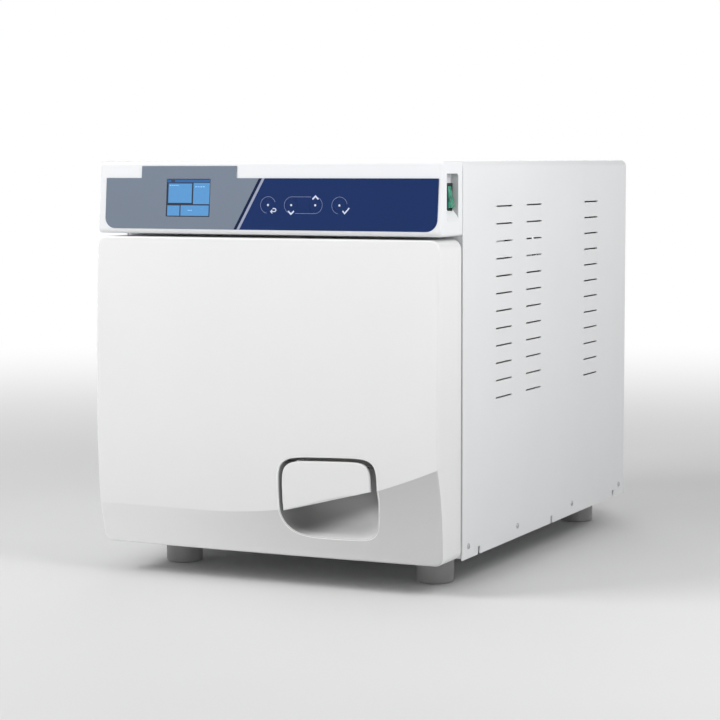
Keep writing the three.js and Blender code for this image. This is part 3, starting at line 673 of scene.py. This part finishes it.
def bowed(low, high, powers, count=112):
    """A closed outline between two corners, rounder where a quadrant's power is lower."""
    middle = (low + high) / 2
    half = (high - low) / 2
    points = []
    for i in range(count):
        angle = math.tau * (i + 0.5) / count
        c, s = math.cos(angle), math.sin(angle)
        power = powers[(0 if s > 0 else 2) + (0 if c > 0 else 1)]
        reach = (abs(c) ** power + abs(s) ** power) ** (-1 / power)
        points.append(Vector((middle.x + half.x * c * reach, 0, middle.z + half.z * s * reach)))
    return points


def top_tilt(p, middle, high):
    """How much higher the upper edge stands on the right than on the left."""
    return TOP_SLOPE * (p.x - middle.x) * clamped((p.z - middle.z) / (high.z - middle.z))


def well_outline(grow=0.0):
    """The well's edge, drawn in a little towards its lower right corner."""
    spread = Vector((grow, 0, grow))
    middle = (WELL_LOW + WELL_HIGH) / 2
    points = bowed(WELL_LOW - spread, WELL_HIGH + spread, WELL_POWERS)
    for p in points:
        below = clamped((middle.z - p.z) / (middle.z - WELL_LOW.z))
        if p.x > middle.x:
            p.x -= (p.x - middle.x) * WELL_TAPER * below
        p.z += top_tilt(p, middle, WELL_HIGH)
    return points


def finger_well():
    """Lip, walls and scooped floor as one lofted skin."""
    rim = well_outline()
    loops = []
    for angle in quarter(LIP_STEPS):  # the lip rolls from the face into the well
        loop = []
        for p in rim:
            away = (p - WELL_HEART).normalized()
            q = p + away * LIP * (1 - math.sin(angle))
            loop.append(Vector((q.x, door_face(q.x, q.z) - 0.0002 + LIP * (1 - math.cos(angle)), q.z)))
        loops.append(loop)
    for i in range(1, SCOOP_STEPS + 1):
        t = i / SCOOP_STEPS
        loop = []
        for p in rim:
            away = (p - WELL_HEART).normalized()
            lean = max(0.0, -away.z * 0.75 + away.x * 0.25)  # the floor climbs gently to the lower right
            share = min(1, t / (STEEP + GENTLE * lean))
            sink = math.sqrt(max(0, 1 - (1 - share) ** 2.2))
            q = p + (WELL_HEART - p) * t * 0.985
            start = door_face(p.x, p.z) + LIP
            loop.append(Vector((q.x, start + (WELL_BACK - start) * sink, q.z)))
        loops.append(loop)
    # the scoop's grey ramp is painted shade
    well = loft("finger_well", loops, ["scoop_painted_shade", "lip_painted_highlight"], cap_end=True)
    # faces near the door's surface are the lip, with its painted highlight
    for face in well.data.polygons:
        near = door_face(face.center.x, face.center.z)
        face.material_index = 1 if face.center.y < near + 0.9 * MM else 0
    return well


def hinge_cutters():
    """Blocks that leave room in the shell for the two hinge knuckles."""
    cutters = []
    for node in ("hinge_knuckle_lower", "hinge_knuckle_upper"):
        low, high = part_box(node)
        z = (low.z + high.z) / 2
        start = (-HALF - PAST, low.y - 0.002, z - KNUCKLE_ROOM)
        end = (high.x - 0.004, DOOR_REAR + PAST, z + KNUCKLE_ROOM)
        cutters.append(box_piece("cutter", start, end))
    return cutters


def build_door():
    shell = thicken(door_skin(), DOOR_WALL)
    well = [(p.x, p.z) for p in well_outline(WELL_GAP)]
    cutter = slab("cutter", well, in_xz, -0.4, WELL_BACK - 0.001)
    carve(shell, cutter, *hinge_cutters())
    crisp(shell, 28)
    shell.data.materials.append(MATERIALS["facet_painted_shade"])
    # painted shade: facet faces below the crease and well in front of the cover get the darker grey
    for face in shell.data.polygons:
        height = (face.center.z - LOW) / MM
        in_facet = face.normal.y < -0.5 and height < crease_height(face.center.x / MM)
        face.material_index = 1 if in_facet and face.center.y < FRONT - FACET_SHADE_DEPTH * MM else 0
    finish_piece(shell, "door_plastic", "door_cover", body="door")
    finish_piece(finger_well(), "door_plastic", body="door")


# The handle plate.
PLATE_LOW = Vector((26.2 * MM, 0, LOW + 22 * MM))
PLATE_HIGH = Vector((134.8 * MM, 0, LOW + 113.4 * MM))
PLATE_HEART = Vector((80 * MM, 0, LOW + 93 * MM))
PLATE_LEFT, PLATE_RIGHT = LOW + 54.2 * MM, LOW + 82.0 * MM  # the slanted lower edge at both sides
PLATE_THICK, PLATE_ROLL, PLATE_SINK = 5.0 * MM, 1.8 * MM, 0.5 * MM
LUG_PLACES = (44 * MM, 108 * MM)


def plate_outline():
    middle = (PLATE_LOW + PLATE_HIGH) / 2
    outline = []
    for p in bowed(PLATE_LOW, PLATE_HIGH, (7, 5.6, 7, 7), 160):
        share = (p.x - PLATE_LOW.x) / (PLATE_HIGH.x - PLATE_LOW.x)
        edge = PLATE_LEFT + (PLATE_RIGHT - PLATE_LEFT) * share
        outline.append(Vector((p.x, 0, max(p.z + top_tilt(p, middle, PLATE_HIGH), edge))))
    return outline


def build_handle():
    """The plate follows the door's face down to the crease, with a small rolled edge."""
    outline = plate_outline()

    def at(p, inset, sink):
        q = p + (PLATE_HEART - p).normalized() * inset
        return Vector((q.x, door_face(q.x, q.z) + PLATE_SINK + sink, q.z))

    def roll_at(p):  # the roll is larger along the lower edge
        return PLATE_ROLL * (1.8 if (PLATE_HEART - p).normalized().z > 0.5 else 1)

    loops = []
    for share in (0.98, 0.7, 0.45, 0.2, 0.1):
        loops.append([at(p, (PLATE_HEART - p).length * share, 0) for p in outline])
    for angle in quarter(5):
        inset, sink = 1 - math.sin(angle), 1 - math.cos(angle)
        loops.append([at(p, roll_at(p) * inset, roll_at(p) * sink) for p in outline])
    loops.append([at(p, 0, PLATE_THICK - PLATE_ROLL) for p in outline])
    loops.append([at(p, PLATE_ROLL, PLATE_THICK) for p in outline])
    loops.append([at(p, (PLATE_HEART - p).length * 0.9, PLATE_THICK) for p in outline])
    plate = crisp(loft("handle_shell", loops, "door_plastic", True, True), 50)
    finish_piece(plate, "door_plastic", "handle_plate", body="handle")
    pin_low, pin_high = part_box("handle_pin")
    for i, x in enumerate(LUG_PLACES):
        low = (x, pin_low.y - 0.0018, pin_low.z - 0.0018)
        high = (x + 0.006, pin_high.y + 0.003, pin_high.z + 0.0008)
        lug = box_piece(f"handle_lug_{i + 1}", low, high, "door_plastic")
        finish_piece(soften(lug, 0.8 * MM), "door_plastic", body="handle")


# ---- control housing
FASCIA_TILT = math.radians(5)
FILM_FACE = 0.75  # the overlay's outer face, in mm above the fascia
FASCIA_FOOT = Vector((0, OVERLAY_LOW.y + FILM_FACE * MM * math.cos(FASCIA_TILT), OVERLAY_LOW.z))
HOUSING_TOP_RADIUS, HOUSING_LOW_RADIUS, HOUSING_ROLL = 4.5 * MM, 6 * MM, 2.6 * MM
HOUSING_WALL = 3 * MM

# On the fascia, in mm: across from the middle, and up from the overlay's lower edge.
WINDOW = (-125.5, -68.7, 14, 57)
KEY_HEIGHT, KEY_RADIUS = 28, 7.6
KEY_X = {"back": 5.3, "down": 34.3, "up": 64, "ok": 93.6}

# The rocker's pocket: y from front to rear, z from low to high.
POCKET = (FRONT - 45.6 * MM, FRONT - 12.8 * MM, LOW + 378.5 * MM, LOW + 430.5 * MM)
POCKET_DEPTH, POCKET_RAMP, POCKET_LIP = 9.2 * MM, 17 * MM, 1.0 * MM
POCKET_SHEET = 1.2 * MM


def on_fascia(u, v, w):
    """A point u across, v up and w out of the fascia, all in mm."""
    up = Vector((0, math.sin(FASCIA_TILT), math.cos(FASCIA_TILT)))
    out = Vector((0, -math.cos(FASCIA_TILT), math.sin(FASCIA_TILT)))
    return FASCIA_FOOT + Vector((u * MM, 0, 0)) + up * v * MM + out * w * MM


def fascia_y(z):
    return FASCIA_FOOT.y + (z - FASCIA_FOOT.z) * math.tan(FASCIA_TILT)


def housing_outline(inset):
    """The housing's side profile, as (y, z), anticlockwise from the lower rear corner."""
    low, high, rear = HOUSING_LOW.z + inset, HOUSING_HIGH.z - inset, HOUSING_HIGH.y - inset
    foot = (fascia_y(low) + inset + HOUSING_LOW_RADIUS, low + HOUSING_LOW_RADIUS)
    brow = (fascia_y(high) + inset + HOUSING_TOP_RADIUS, high - HOUSING_TOP_RADIUS)
    points = [(rear, low), (foot[0], low)]
    points += arc(foot, HOUSING_LOW_RADIUS, 270, 180, 8)
    points += arc(brow, HOUSING_TOP_RADIUS, 180, 90, 8)
    points += [(rear, high)]
    return points


def housing_shell():
    """A hollow shell with a small roll at both ends."""
    loops = []
    for side in (-1, 1):
        for angle in quarter(6)[::-side]:
            x = side * (HALF - HOUSING_ROLL + HOUSING_ROLL * math.cos(angle))
            outline = housing_outline(HOUSING_ROLL * (1 - math.sin(angle)))
            loops.append([Vector((x, y, z)) for y, z in outline])
    outer = loft("housing_shell", loops, "housing_plastic", True, True)
    end = HALF - HOUSING_WALL
    inner = slab("cutter", housing_outline(HOUSING_WALL), in_yz, -end, end)
    return carve(outer, inner)


def refine(points, step):
    """Adds points along a closed outline's long sides."""
    result = []
    for i, p in enumerate(points):
        q = points[(i + 1) % len(points)]
        parts = max(1, math.ceil((q - p).length / step))
        result += [p.lerp(q, k / parts) for k in range(parts)]
    return result


def pocket_outline():
    """The pocket's mouth and each of its points' outward direction."""
    y0, y1, z0, z1 = POCKET
    rear_low, rear_high, front_high, front_low = 0.004, 0.0045, 0.0012, 0.006
    points = arc((y1 - rear_low, z0 + rear_low), rear_low, -90, 0, 8)
    points += arc((y1 - rear_high, z1 - rear_high), rear_high, 0, 90, 10)
    points += arc((y0 + front_high, z1 - front_high), front_high, 90, 180, 6)
    points += arc((y0 + front_low, z0 + front_low), front_low, 180, 270, 8)
    rim = refine([Vector((0, y, z)) for y, z in points], 2.5 * MM)
    outward = []
    for i in range(len(rim)):
        before, after = neighbours(rim, i, True)
        outward.append((after - before).cross(Vector((1, 0, 0))).normalized())
    return rim, outward


def pocket_floor(z):
    """The floor's x: deep behind the rocker, climbing out to the surface at the lower end."""
    share = clamped((z - POCKET[2]) / POCKET_RAMP)
    return HALF - POCKET_DEPTH * share * share * (3 - 2 * share)


def rocker_pocket():
    """A thin shell with a rolled lip, walls and a floor, in the housing's right side."""
    rim, outward = pocket_outline()
    y0, y1, z0, z1 = POCKET
    middle = Vector((0, (y0 + y1) / 2, z0 + 0.6 * (z1 - z0)))
    loops = []
    for angle in quarter(5):
        surface = HALF + 0.00004 - POCKET_LIP * (1 - math.cos(angle))
        points = [p + away * POCKET_LIP * (1 - math.sin(angle)) for p, away in zip(rim, outward)]
        loops.append([Vector((max(surface, pocket_floor(q.z) - 0.0001), q.y, q.z)) for q in points])
    for inset in (0.1, 0.4, 1.0):
        points = [p - away * inset * MM for p, away in zip(rim, outward)]
        rise = (1 - inset) * 0.8 * MM
        loops.append([Vector((min(HALF, pocket_floor(q.z) + rise), q.y, q.z)) for q in points])
    for share in (0.15, 0.3, 0.45, 0.6, 0.75, 0.9, 0.97):
        points = [(p - away * MM).lerp(middle, share) for p, away in zip(rim, outward)]
        loops.append([Vector((pocket_floor(q.z), q.y, q.z)) for q in points])
    inward = Vector((-POCKET_SHEET, 0, 0))
    behind = [[p + away * POCKET_SHEET + inward for p, away in zip(loop, outward)] for loop in loops]
    loops = loops[::-1] + behind
    pocket = loft("rocker_pocket", loops, ["housing_plastic", "pocket_painted_shade"], True, True)
    for face in pocket.data.polygons:  # the rear and upper walls get painted shade: a dark grey stands in for the shade deep in the pocket
        rear_or_top = face.normal.y < -0.6 or face.normal.z < -0.6
        face.material_index = 1 if rear_or_top and face.center.x < HALF - 0.6 * MM else 0
    return pocket


def window_cutter(low, high):
    outline = rounded(*WINDOW, 0.8, steps=3)
    return slab("cutter", outline, on_fascia, low, high)


def key_disc(name, x, radius, low, high, materials=()):
    return slab(name, arc((x, KEY_HEIGHT), radius, 0, 352.5, 47), on_fascia, low, high, materials)


def build_housing():
    rim, outward = pocket_outline()
    opening = [p + away * 0.8 * MM for p, away in zip(rim, outward)]
    opening = [(p.y, p.z) for p in opening]
    shell = housing_shell()
    mouth = slab("cutter", opening, in_yz, HALF - 0.008, HALF + PAST)
    keys = [key_disc("cutter", x, KEY_RADIUS + 0.2, -8, 2) for x in KEY_X.values()]
    carve(shell, mouth, window_cutter(-8, 2), *keys)
    finish_piece(crisp(shell, 30), "housing_plastic", "control_housing")
    low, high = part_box("switch_bezel")
    start = (low.x, low.y + 0.0008, low.z + 0.0012)
    end = (HALF, high.y - 0.0008, high.z - 0.0012)
    pocket = carve(rocker_pocket(), box_piece("cutter", start, end))
    finish_piece(crisp(pocket, 50), "housing_plastic")


# ---- printed panel
OVERLAY_X = (-205.5, 211)
OVERLAY_TOP, OVERLAY_CORNER, TOP_CORNER, CORNER_STEPS = 57.8, 13, 0.4, 10
TAB_X0, TAB_X1, TAB_TOP = -158.8, -36, 71.5
STRIPES = [(-37.5, -7.6), (-33.6, -3.7), (-30.2, -0.4)]  # x at the foot and at the top of each boundary
STRIPE_TOP = 57
INKS = ["overlay_grey", "overlay_navy", "overlay_pale", "overlay_blue"]
PRINT_LOW, PRINT_HIGH = 0.7, 0.8
RING, LOOP = 9.3, 9.2
HAIRLINE, HEAVY = 0.42, 1.7


def stroke(name, path, width, material):
    """A printed line of even width along a path on the fascia."""
    points = [Vector(p) for p in path]
    loops = []
    for i, p in enumerate(points):
        before, after = neighbours(points, i, False)
        first = (p - before) if i else (after - p)
        second = (after - p) if i < len(points) - 1 else first
        first, second = first.normalized(), second.normalized()
        mitre = Vector((-(first.y + second.y), first.x + second.x)).normalized()
        reach = width / 2 / max(0.4, mitre.dot(Vector((-first.y, first.x))))
        a, b = p + mitre * reach, p - mitre * reach
        section = ((a, PRINT_LOW), (b, PRINT_LOW), (b, PRINT_HIGH), (a, PRINT_HIGH))
        loops.append([on_fascia(q.x, q.y, w) for q, w in section])
    return crisp(loft(name, loops, material, True, True), 20)


def overlay_film():
    """The printed film: grey, a dark and a pale slanting stripe, then blue."""
    outline = rounded(*OVERLAY_X, 0, OVERLAY_TOP, OVERLAY_CORNER, TOP_CORNER, CORNER_STEPS)
    after_right = 2 * (CORNER_STEPS + 1)
    tab = [(TAB_X1, OVERLAY_TOP), (TAB_X1, TAB_TOP), (TAB_X0, TAB_TOP), (TAB_X0, OVERLAY_TOP)]
    outline[after_right:after_right] = tab
    film = slab("panel_film", outline, on_fascia, 0.15, FILM_FACE, INKS)
    keys = [key_disc("cutter", x, KEY_RADIUS + 0.12, -1, 2) for x in KEY_X.values()]
    carve(film, window_cutter(-1, 2), *keys)
    work = bmesh.new()
    work.from_mesh(film.data)
    for foot, top in STRIPES:
        start, end = on_fascia(foot, 0, 0), on_fascia(top, STRIPE_TOP, 0)
        normal = (end - start).cross(on_fascia(0, 0, 1) - on_fascia(0, 0, 0))
        everything = work.verts[:] + work.edges[:] + work.faces[:]
        bmesh.ops.bisect_plane(work, geom=everything, plane_co=start, plane_no=normal, dist=1e-7)
    for face in work.faces:
        middle = face.calc_center_median() - FASCIA_FOOT
        height = middle.z / math.cos(FASCIA_TILT) / MM / STRIPE_TOP
        passed = [middle.x / MM > foot + (top - foot) * height for foot, top in STRIPES]
        face.material_index = sum(passed)
    work.to_mesh(film.data)
    work.free()
    return crisp(film, 30)


def key_marks():
    """Each printed sign's path, from the middle of its key, with its key, width and ink."""
    to_up = KEY_X["up"] - KEY_X["down"]
    hook = [(6.0, -3.9), *arc((8.4, -5.6), 1.7, 90, -90, 12), (4.2, -7.3)]
    low_side = [(5.2, -LOOP), (to_up - 0.6, -LOOP), *arc((to_up - 0.6, 0), LOOP, -90, 68, 24)[1:]]
    return {
        "ring_back": ("back", arc((0, 0), RING, 20, 262, 40), HAIRLINE, "icon_line"),
        "ring_ok": ("ok", arc((0, 0), RING, 10, 262, 40), HAIRLINE, "icon_line"),
        "loop_left": ("down", arc((0.6, 0), LOOP, 90, 248, 24), HAIRLINE, "icon_line"),
        "loop_low": ("down", low_side, HAIRLINE, "icon_line"),
        "loop_high": ("down", [(0.6, LOOP), (to_up - 5.2, LOOP)], HAIRLINE, "icon_line"),
        "chevron_down": ("down", [(-3.6, -6.6), (0, -10), (3.6, -6.6)], HEAVY, "icon_white"),
        "chevron_up": ("up", [(-3.6, 6.6), (0, 10), (3.6, 6.6)], HEAVY, "icon_white"),
        "check": ("ok", [(4.0, -6.0), (6.6, -8.8), (12.0, -2.8)], 1.5, "icon_white"),
        "return_hook": ("back", hook, 1.1, "icon_white"),
        "return_head": ("back", [(5.7, -5.4), (3.6, -7.3), (5.7, -9.2)], 1.1, "icon_white"),
    }


def build_panel():
    finish_piece(overlay_film(), "overlay_film", "panel_overlay")
    for key, x in KEY_X.items():
        cap = key_disc(f"key_cap_{key}", x, KEY_RADIUS, -6, FILM_FACE, "overlay_blue")
        finish_piece(soften(cap, 0.15 * MM, 2), "overlay_film", f"key_{key}", body=f"key_{key}")
        spot = arc((x, KEY_HEIGHT), 1.25, 0, 345, 23)
        dot = slab(f"key_dot_{key}", spot, on_fascia, 0.7, 0.83, "icon_white")
        finish_piece(crisp(dot), "overlay_film", body=f"key_{key}")
    for name, (key, path, width, ink) in key_marks().items():
        path = [(KEY_X[key] + u, KEY_HEIGHT + v) for u, v in path]
        finish_piece(stroke(f"print_{name}", path, width, ink), "overlay_film")


# ---- display
# Places are shares of the window, from its upper left corner: left, right, upper, lower.
PANES = {
    "status": ((0.01, 0.99, 0.02, 0.095), "display_bar"),
    "main": ((0.045, 0.58, 0.125, 0.635), "display_pane"),
    "side": ((0.615, 0.985, 0.11, 0.665), "display_pane"),
    "lower_left": ((0.03, 0.31, 0.705, 0.975), "display_pane"),
    "lower_right": ((0.335, 0.975, 0.70, 0.975), "display_pane"),
}
# Rows of dashes: first left edge, pitch, width, upper, lower, how many.
DASHES = (
    (0.07, 0.045, 0.025, 0.165, 0.185, 5),
    (0.65, 0.06, 0.04, 0.2, 0.22, 4),
    (0.5, 0.035, 0.023, 0.82, 0.84, 3),
)


def build_screen():
    x0, x1, y0, y1 = WINDOW
    wide, tall = x1 - x0, y1 - y0

    def patch(name, place, low, high, material):
        left, right, upper, lower = place
        corners = ((left, lower), (right, lower), (right, upper), (left, upper))
        outline = [(x0 + wide * u, y1 - tall * v) for u, v in corners]
        piece = slab(f"screen_{name}", outline, on_fascia, low, high, material)
        finish_piece(crisp(piece), "display_glass")

    for name, (place, material) in PANES.items():
        patch(name, place, 0.44, 0.5, material)
    number = 0
    for first, pitch, width, upper, lower, count in DASHES:
        for i in range(count):
            number += 1
            left = first + pitch * i
            patch(f"dash_{number}", (left, left + width, upper, lower), 0.49, 0.52, "display_mark")
    patch("mark", (0.1, 0.19, 0.035, 0.08), 0.49, 0.52, "display_dark")


# ---- cover, lid and feet
SHEET = 1.5 * MM
COVER_CORNER = 8 * MM
VENT_PLACES = (-120, -23.4, 181.6)
VENT_LENGTH, VENT_HEIGHT, VENT_TOP, VENT_PITCH, VENT_ROWS = 51, 1.8, 426.8, 20, 12
NOTCHES = (-195.5, 42, 276.8)
LID_GAP = 0.6 * MM


def cover_profile(inset):
    """The bent sheet's surface in section, from the right lower edge over the top to the left one."""
    radius = COVER_CORNER - inset
    high, side = TOP - inset, HALF - inset
    points = [(side, LOW)]
    points += arc((side - radius, high - radius), radius, 0, 90, 14)
    points += arc((-side + radius, high - radius), radius, 90, 180, 14)
    points += [(-side, LOW)]
    return points


def cover_sheet():
    section = cover_profile(0) + cover_profile(SHEET)[::-1]
    count = len(section)
    vertices = [Vector((x, y, z)) for y in (FRONT, REAR) for x, z in section]
    faces = grid_faces(2, count, wrap=True)
    for k in range(count // 2 - 1):
        quad = (k, k + 1, count - 2 - k, count - 1 - k)
        faces += [quad, tuple(i + count for i in quad)]
    return mesh_object("cover_sheet", vertices, faces, "cover_paint")


def side_cutter():
    """The air slots and the notches for screws, through both sides."""
    outlines = []
    end = VENT_HEIGHT * MM / 2
    reach = VENT_LENGTH * MM / 2 - end
    for y in VENT_PLACES:
        for row in range(VENT_ROWS):
            z = (VENT_TOP - VENT_PITCH * row) * MM
            front = arc((y * MM - reach, z), end, 90, 270, 6)
            outlines.append(arc((y * MM + reach, z), end, -90, 90, 6) + front)
    for y in NOTCHES:
        outlines.append(rounded((y - 3.5) * MM, (y + 3.5) * MM, LOW - 0.004, LOW + 0.009, 0.0005, 0.0015, 4))
    vertices, faces = [], []
    for outline in outlines:
        start, size = len(vertices), len(outline)
        vertices += [Vector((x, u, v)) for x in (-HALF - PAST, HALF + PAST) for u, v in outline]
        ends = [tuple(range(size)), tuple(range(size, 2 * size))]
        for face in ends + grid_faces(2, size, wrap=True):
            faces.append(tuple(start + i for i in face))
    return mesh_object("cutter", vertices, faces, (), smooth=False)


def build_cover():
    low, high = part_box("filler_lid")
    gap = LID_GAP
    outline = rounded(low.x - gap, high.x + gap, low.y - gap, high.y + gap, 5 * MM)
    hole = slab("cutter", outline, in_xy, TOP - PAST, TOP + PAST)
    cover = carve(cover_sheet(), side_cutter(), hole)
    finish_piece(crisp(cover, 30), "cover_paint", "cover_wrap")


def build_lid():
    """A flat hatch with a finger scoop at its front edge."""
    low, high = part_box("filler_lid")
    outline = rounded(low.x, high.x, low.y, high.y, 4.4 * MM)
    lid = slab("filler_hatch", outline, in_xy, low.z, TOP - 0.00005, "cover_paint")
    place = ((low.x + high.x) / 2, low.y - 0.002, low.z - 0.005)
    profile = [(0, 0), (0.011, 0), (0.011, 0.02), (0, 0.02)]
    carve(lid, lathe("cutter", profile, place, "z", (), 48))
    finish_piece(soften(lid, 0.3 * MM, 2), "cover_paint", "filler_lid", body="filler_lid")


def build_feet():
    """Turned rubber feet with a hollow underside."""
    for corner in ("front_left", "rear_left", "front_right", "rear_right"):
        low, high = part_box(f"foot_{corner}")
        x, y, _ = middle_of(f"foot_{corner}")
        radius, top = (high.x - low.x) / 2, high.z
        profile = [(0, 0.002), (radius - 0.008, 0.002), (radius - 0.0095, 0), (radius - 0.003, 0)]
        profile += [(radius - 0.0008, 0.0008), (radius - 0.0002, 0.0026), (radius - 0.0002, 0.006)]
        profile += [(radius, 0.0066), (radius, top - 0.0015), (radius - 0.0015, top), (0, top)]
        foot = lathe(f"foot_turned_{corner}", profile, (x, y, 0), "z", "foot_rubber")
        finish_piece(crisp(foot, 40), "foot_rubber", f"foot_{corner}")


# ---- screws and rear fittings
SCREW_LINE = LOW + 0.014
SIDE_SCREWS = (-0.228, -0.075, 0.115, 0.300)
HEAD_HEIGHT, CROSS_REACH, CROSS_WIDTH = 0.55, 0.62, 0.12  # shares of a screw's radius
GUARD_RINGS = (0.018, 0.032, 0.046, 0.058)
GUARD_LIFT, WIRE = 2.2 * MM, 0.9 * MM
GUARD_SCREW_RADIUS = 0.0725
SPOKE = ((0.018, 0.0016), (0.058, 0.0016), (0.066, 0.0012), (0.070, -0.0012))  # (radius, lift)


def screw(name, place, axis, sign, radius, body="cabinet"):
    """A pan head with a cross recess, standing proud along an axis."""
    tall = radius * HEAD_HEIGHT
    profile = [(0, tall)]
    for degrees in (25, 45, 62, 78, 90):
        angle = math.radians(degrees)
        profile.append((radius * math.sin(angle), tall * (0.35 + 0.65 * math.cos(angle))))
    profile += [(radius, 0), (0, 0)]
    profile = [(r, d * sign) for r, d in profile]
    head = lathe(name, profile, place, axis, "zinc_sheet", 24)
    index = "xyz".index(axis)
    others = [i for i in range(3) if i != index]
    depths = sorted(place[index] + sign * tall * share for share in (0.4, 1.5))
    for long, short in (others, others[::-1]):
        low, high = list(place), list(place)
        for i, share in ((long, CROSS_REACH), (short, CROSS_WIDTH)):
            low[i] -= radius * share
            high[i] += radius * share
        low[index], high[index] = depths
        carve(head, box_piece("cutter", low, high))
    finish_piece(crisp(head, 40), "zinc_sheet", body=body)


def build_screws():
    for side, word in ((-1, "left"), (1, "right")):
        for i, y in enumerate(SIDE_SCREWS):
            screw(f"cover_screw_{word}_{i + 1}", (side * HALF, y, SCREW_LINE), "x", side, 3.2 * MM)
    spots = [(x, z) for x in (-0.2, 0.2) for z in (0.075, 0.2, 0.33, 0.462)]
    spots += [(x, 0.466) for x in (-0.07, 0.07)]
    for i, (x, z) in enumerate(spots):
        screw(f"back_screw_{i + 1}", (x, BACK_FACE, z), "y", 1, 3 * MM)


def build_fan_guard():
    """Four wire rings and four spokes over the fan, held by four screws."""
    x, _, z = middle_of("fan_rotor")
    ring_y = BACK_FACE + GUARD_LIFT
    turns = [math.tau * k / 64 for k in range(64)]
    for i, radius in enumerate(GUARD_RINGS):
        path = [(x + radius * math.cos(t), ring_y, z + radius * math.sin(t)) for t in turns]
        ring = tube(f"guard_ring_{i + 1}", path, WIRE, "zinc_sheet", closed=True)
        finish_piece(ring, "zinc_sheet")
    for i in range(4):
        angle = math.radians(45 + 90 * i)
        c, s = math.cos(angle), math.sin(angle)
        path = [(x + r * c, ring_y + lift, z + r * s) for r, lift in SPOKE]
        finish_piece(tube(f"guard_spoke_{i + 1}", path, WIRE, "zinc_sheet"), "zinc_sheet")
        place = (x + GUARD_SCREW_RADIUS * c, BACK_FACE, z + GUARD_SCREW_RADIUS * s)
        screw(f"guard_screw_{i + 1}", place, "y", 1, 3.4 * MM)


def build_rear():
    """Screws of the power inlet, and collars round the two drain couplings."""
    low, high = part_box("power_inlet")
    for i, x in enumerate((low.x + 4.2 * MM, high.x - 4.2 * MM)):
        screw(f"inlet_screw_{i + 1}", (x, high.y, (low.z + high.z) / 2), "y", 1, 2.6 * MM)
    for name in ("clean", "waste"):
        low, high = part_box(f"{name}_drain")
        x, _, z = middle_of(f"{name}_drain")
        radius = (high.x - low.x) / 2
        steps = ((2.8, 0), (3.2, 0.6), (3.2, 2.2), (2, 3), (0, 3), (0, 0), (2.8, 0))
        profile = [(radius + out * MM, BACK_FACE + back * MM) for out, back in steps]
        collar = lathe(f"{name}_drain_collar", profile, (x, 0, z), "y", "grey_plastic", 48)
        finish_piece(crisp(collar, 40), "grey_plastic")


# ---- pieces seen with the door open
def build_liner():
    """Screws of the door's liner, and a trim ring round the plate."""
    low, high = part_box("door_liner")
    plate_low, plate_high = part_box("door_plate")
    x, _, z = middle_of("door_plate")
    radius = (plate_high.x - plate_low.x) / 2
    spots = [(x, z) for x in (-0.178, 0.178) for z in (low.z + 0.055, high.z - 0.02)]
    for i, (across, height) in enumerate(spots):
        screw(f"liner_screw_{i + 1}", (across, high.y, height), "y", 1, 3 * MM, "door")
    steps = ((0.5, -0.5), (7.5, -0.5), (7.5, 0.5), (6.5, 1.1), (1.8, 1.1), (0.5, 0.4), (0.5, -0.5))
    profile = [(radius + out * MM, high.y + back * MM) for out, back in steps]
    trim = lathe("liner_trim_ring", profile, (x, 0, z), "y", "door_plastic", 128)
    finish_piece(crisp(trim, 40), "door_plastic", body="door")


def build_trays():
    """Two carrying loops at the front of each tray."""
    for i in (1, 2, 3):
        low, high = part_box(f"tray_{i}")
        for j, x in enumerate((-0.035, 0.035)):
            bow = arc((x, 0), 0.011, 180, 360, 14)
            path = [(u, low.y - 0.0002 + v * 0.35, high.z - 0.002) for u, v in bow]
            loop = tube(f"tray_{i}_loop_{j + 1}", path, 1.0 * MM, "stainless")
            finish_piece(loop, "stainless")


# ---- the frame's own nodes
HINGES = ("hinge_arm_lower", "hinge_arm_upper", "hinge_knuckle_lower", "hinge_knuckle_upper")
TRAYS = ("tray_1", "tray_2", "tray_3")
LOOKS = {
    "cover_paint": ("back_panel", "front_frame"),
    "zinc_sheet": ("base_pan", *HINGES, "latch_keeper", "latch_hook", "door_bridge", "plate_bolt"),
    "stainless": ("tray_rack", *TRAYS, "hinge_pin_lower", "hinge_pin_upper", "lock_pin"),
    "dark_steel": ("handle_pin",),
    "stainless_turned": ("chamber_vessel", "door_plate"),
    "grey_plastic": ("heater_band", "lock_solenoid"),
    "insulation": ("insulation_jacket",),
    "tank_plastic": ("clean_water_tank", "waste_water_tank", "air_filter"),
    "aluminium": ("vacuum_pump", "condenser_core"),
    "black_plastic": ("water_pump", "fan_shroud", "fan_rotor", "power_inlet", "switch_bezel"),
    "brass": ("steam_generator", "valve_block", "safety_valve", "clean_drain", "waste_drain"),
    "circuit_board": ("main_board", "control_board"),
    "display_dark": ("lcd_module",),
    "rocker_green": ("rocker_button",),
    "door_plastic": ("door_liner",),
    "silicone": ("door_gasket",),
}
# Width of the rounded edges, in mm.
EDGES = {
    0.3: ("front_frame", "back_panel", *TRAYS, "door_liner"),
    0.35: ("switch_bezel",),
    0.4: ("base_pan", *HINGES, "door_bridge"),
    0.5: ("rocker_button", "latch_hook"),
    0.6: ("power_inlet",),
    0.8: ("fan_shroud", "water_pump", "valve_block", "lock_solenoid"),
    1.0: ("vacuum_pump", "steam_generator"),
    4.0: ("waste_water_tank",),
}


def dress_frame():
    """Gives the kept CAD nodes their materials, and some of them small rounded edges."""
    for look, names in LOOKS.items():
        for name in names:
            materials = bpy.data.objects[name].data.materials
            materials.clear()
            materials.append(MATERIALS[look])
    for width, names in EDGES.items():
        for name in names:
            piece = bpy.data.objects[name]
            piece.modifiers.new("weld", "WELD").merge_threshold = 1e-5
            edges = piece.modifiers.new("edges", "BEVEL")
            edges.width = width * MM
            edges.segments = 2
            edges.limit_method = "ANGLE"
            edges.angle_limit = math.radians(40)
            edges.use_clamp_overlap = True


add_camera()
add_studio()
make_materials()
build_door()
build_handle()
build_housing()
build_panel()
build_screen()
build_cover()
build_lid()
build_feet()
build_screws()
build_fan_guard()
build_rear()
build_liner()
build_trays()
dress_frame()
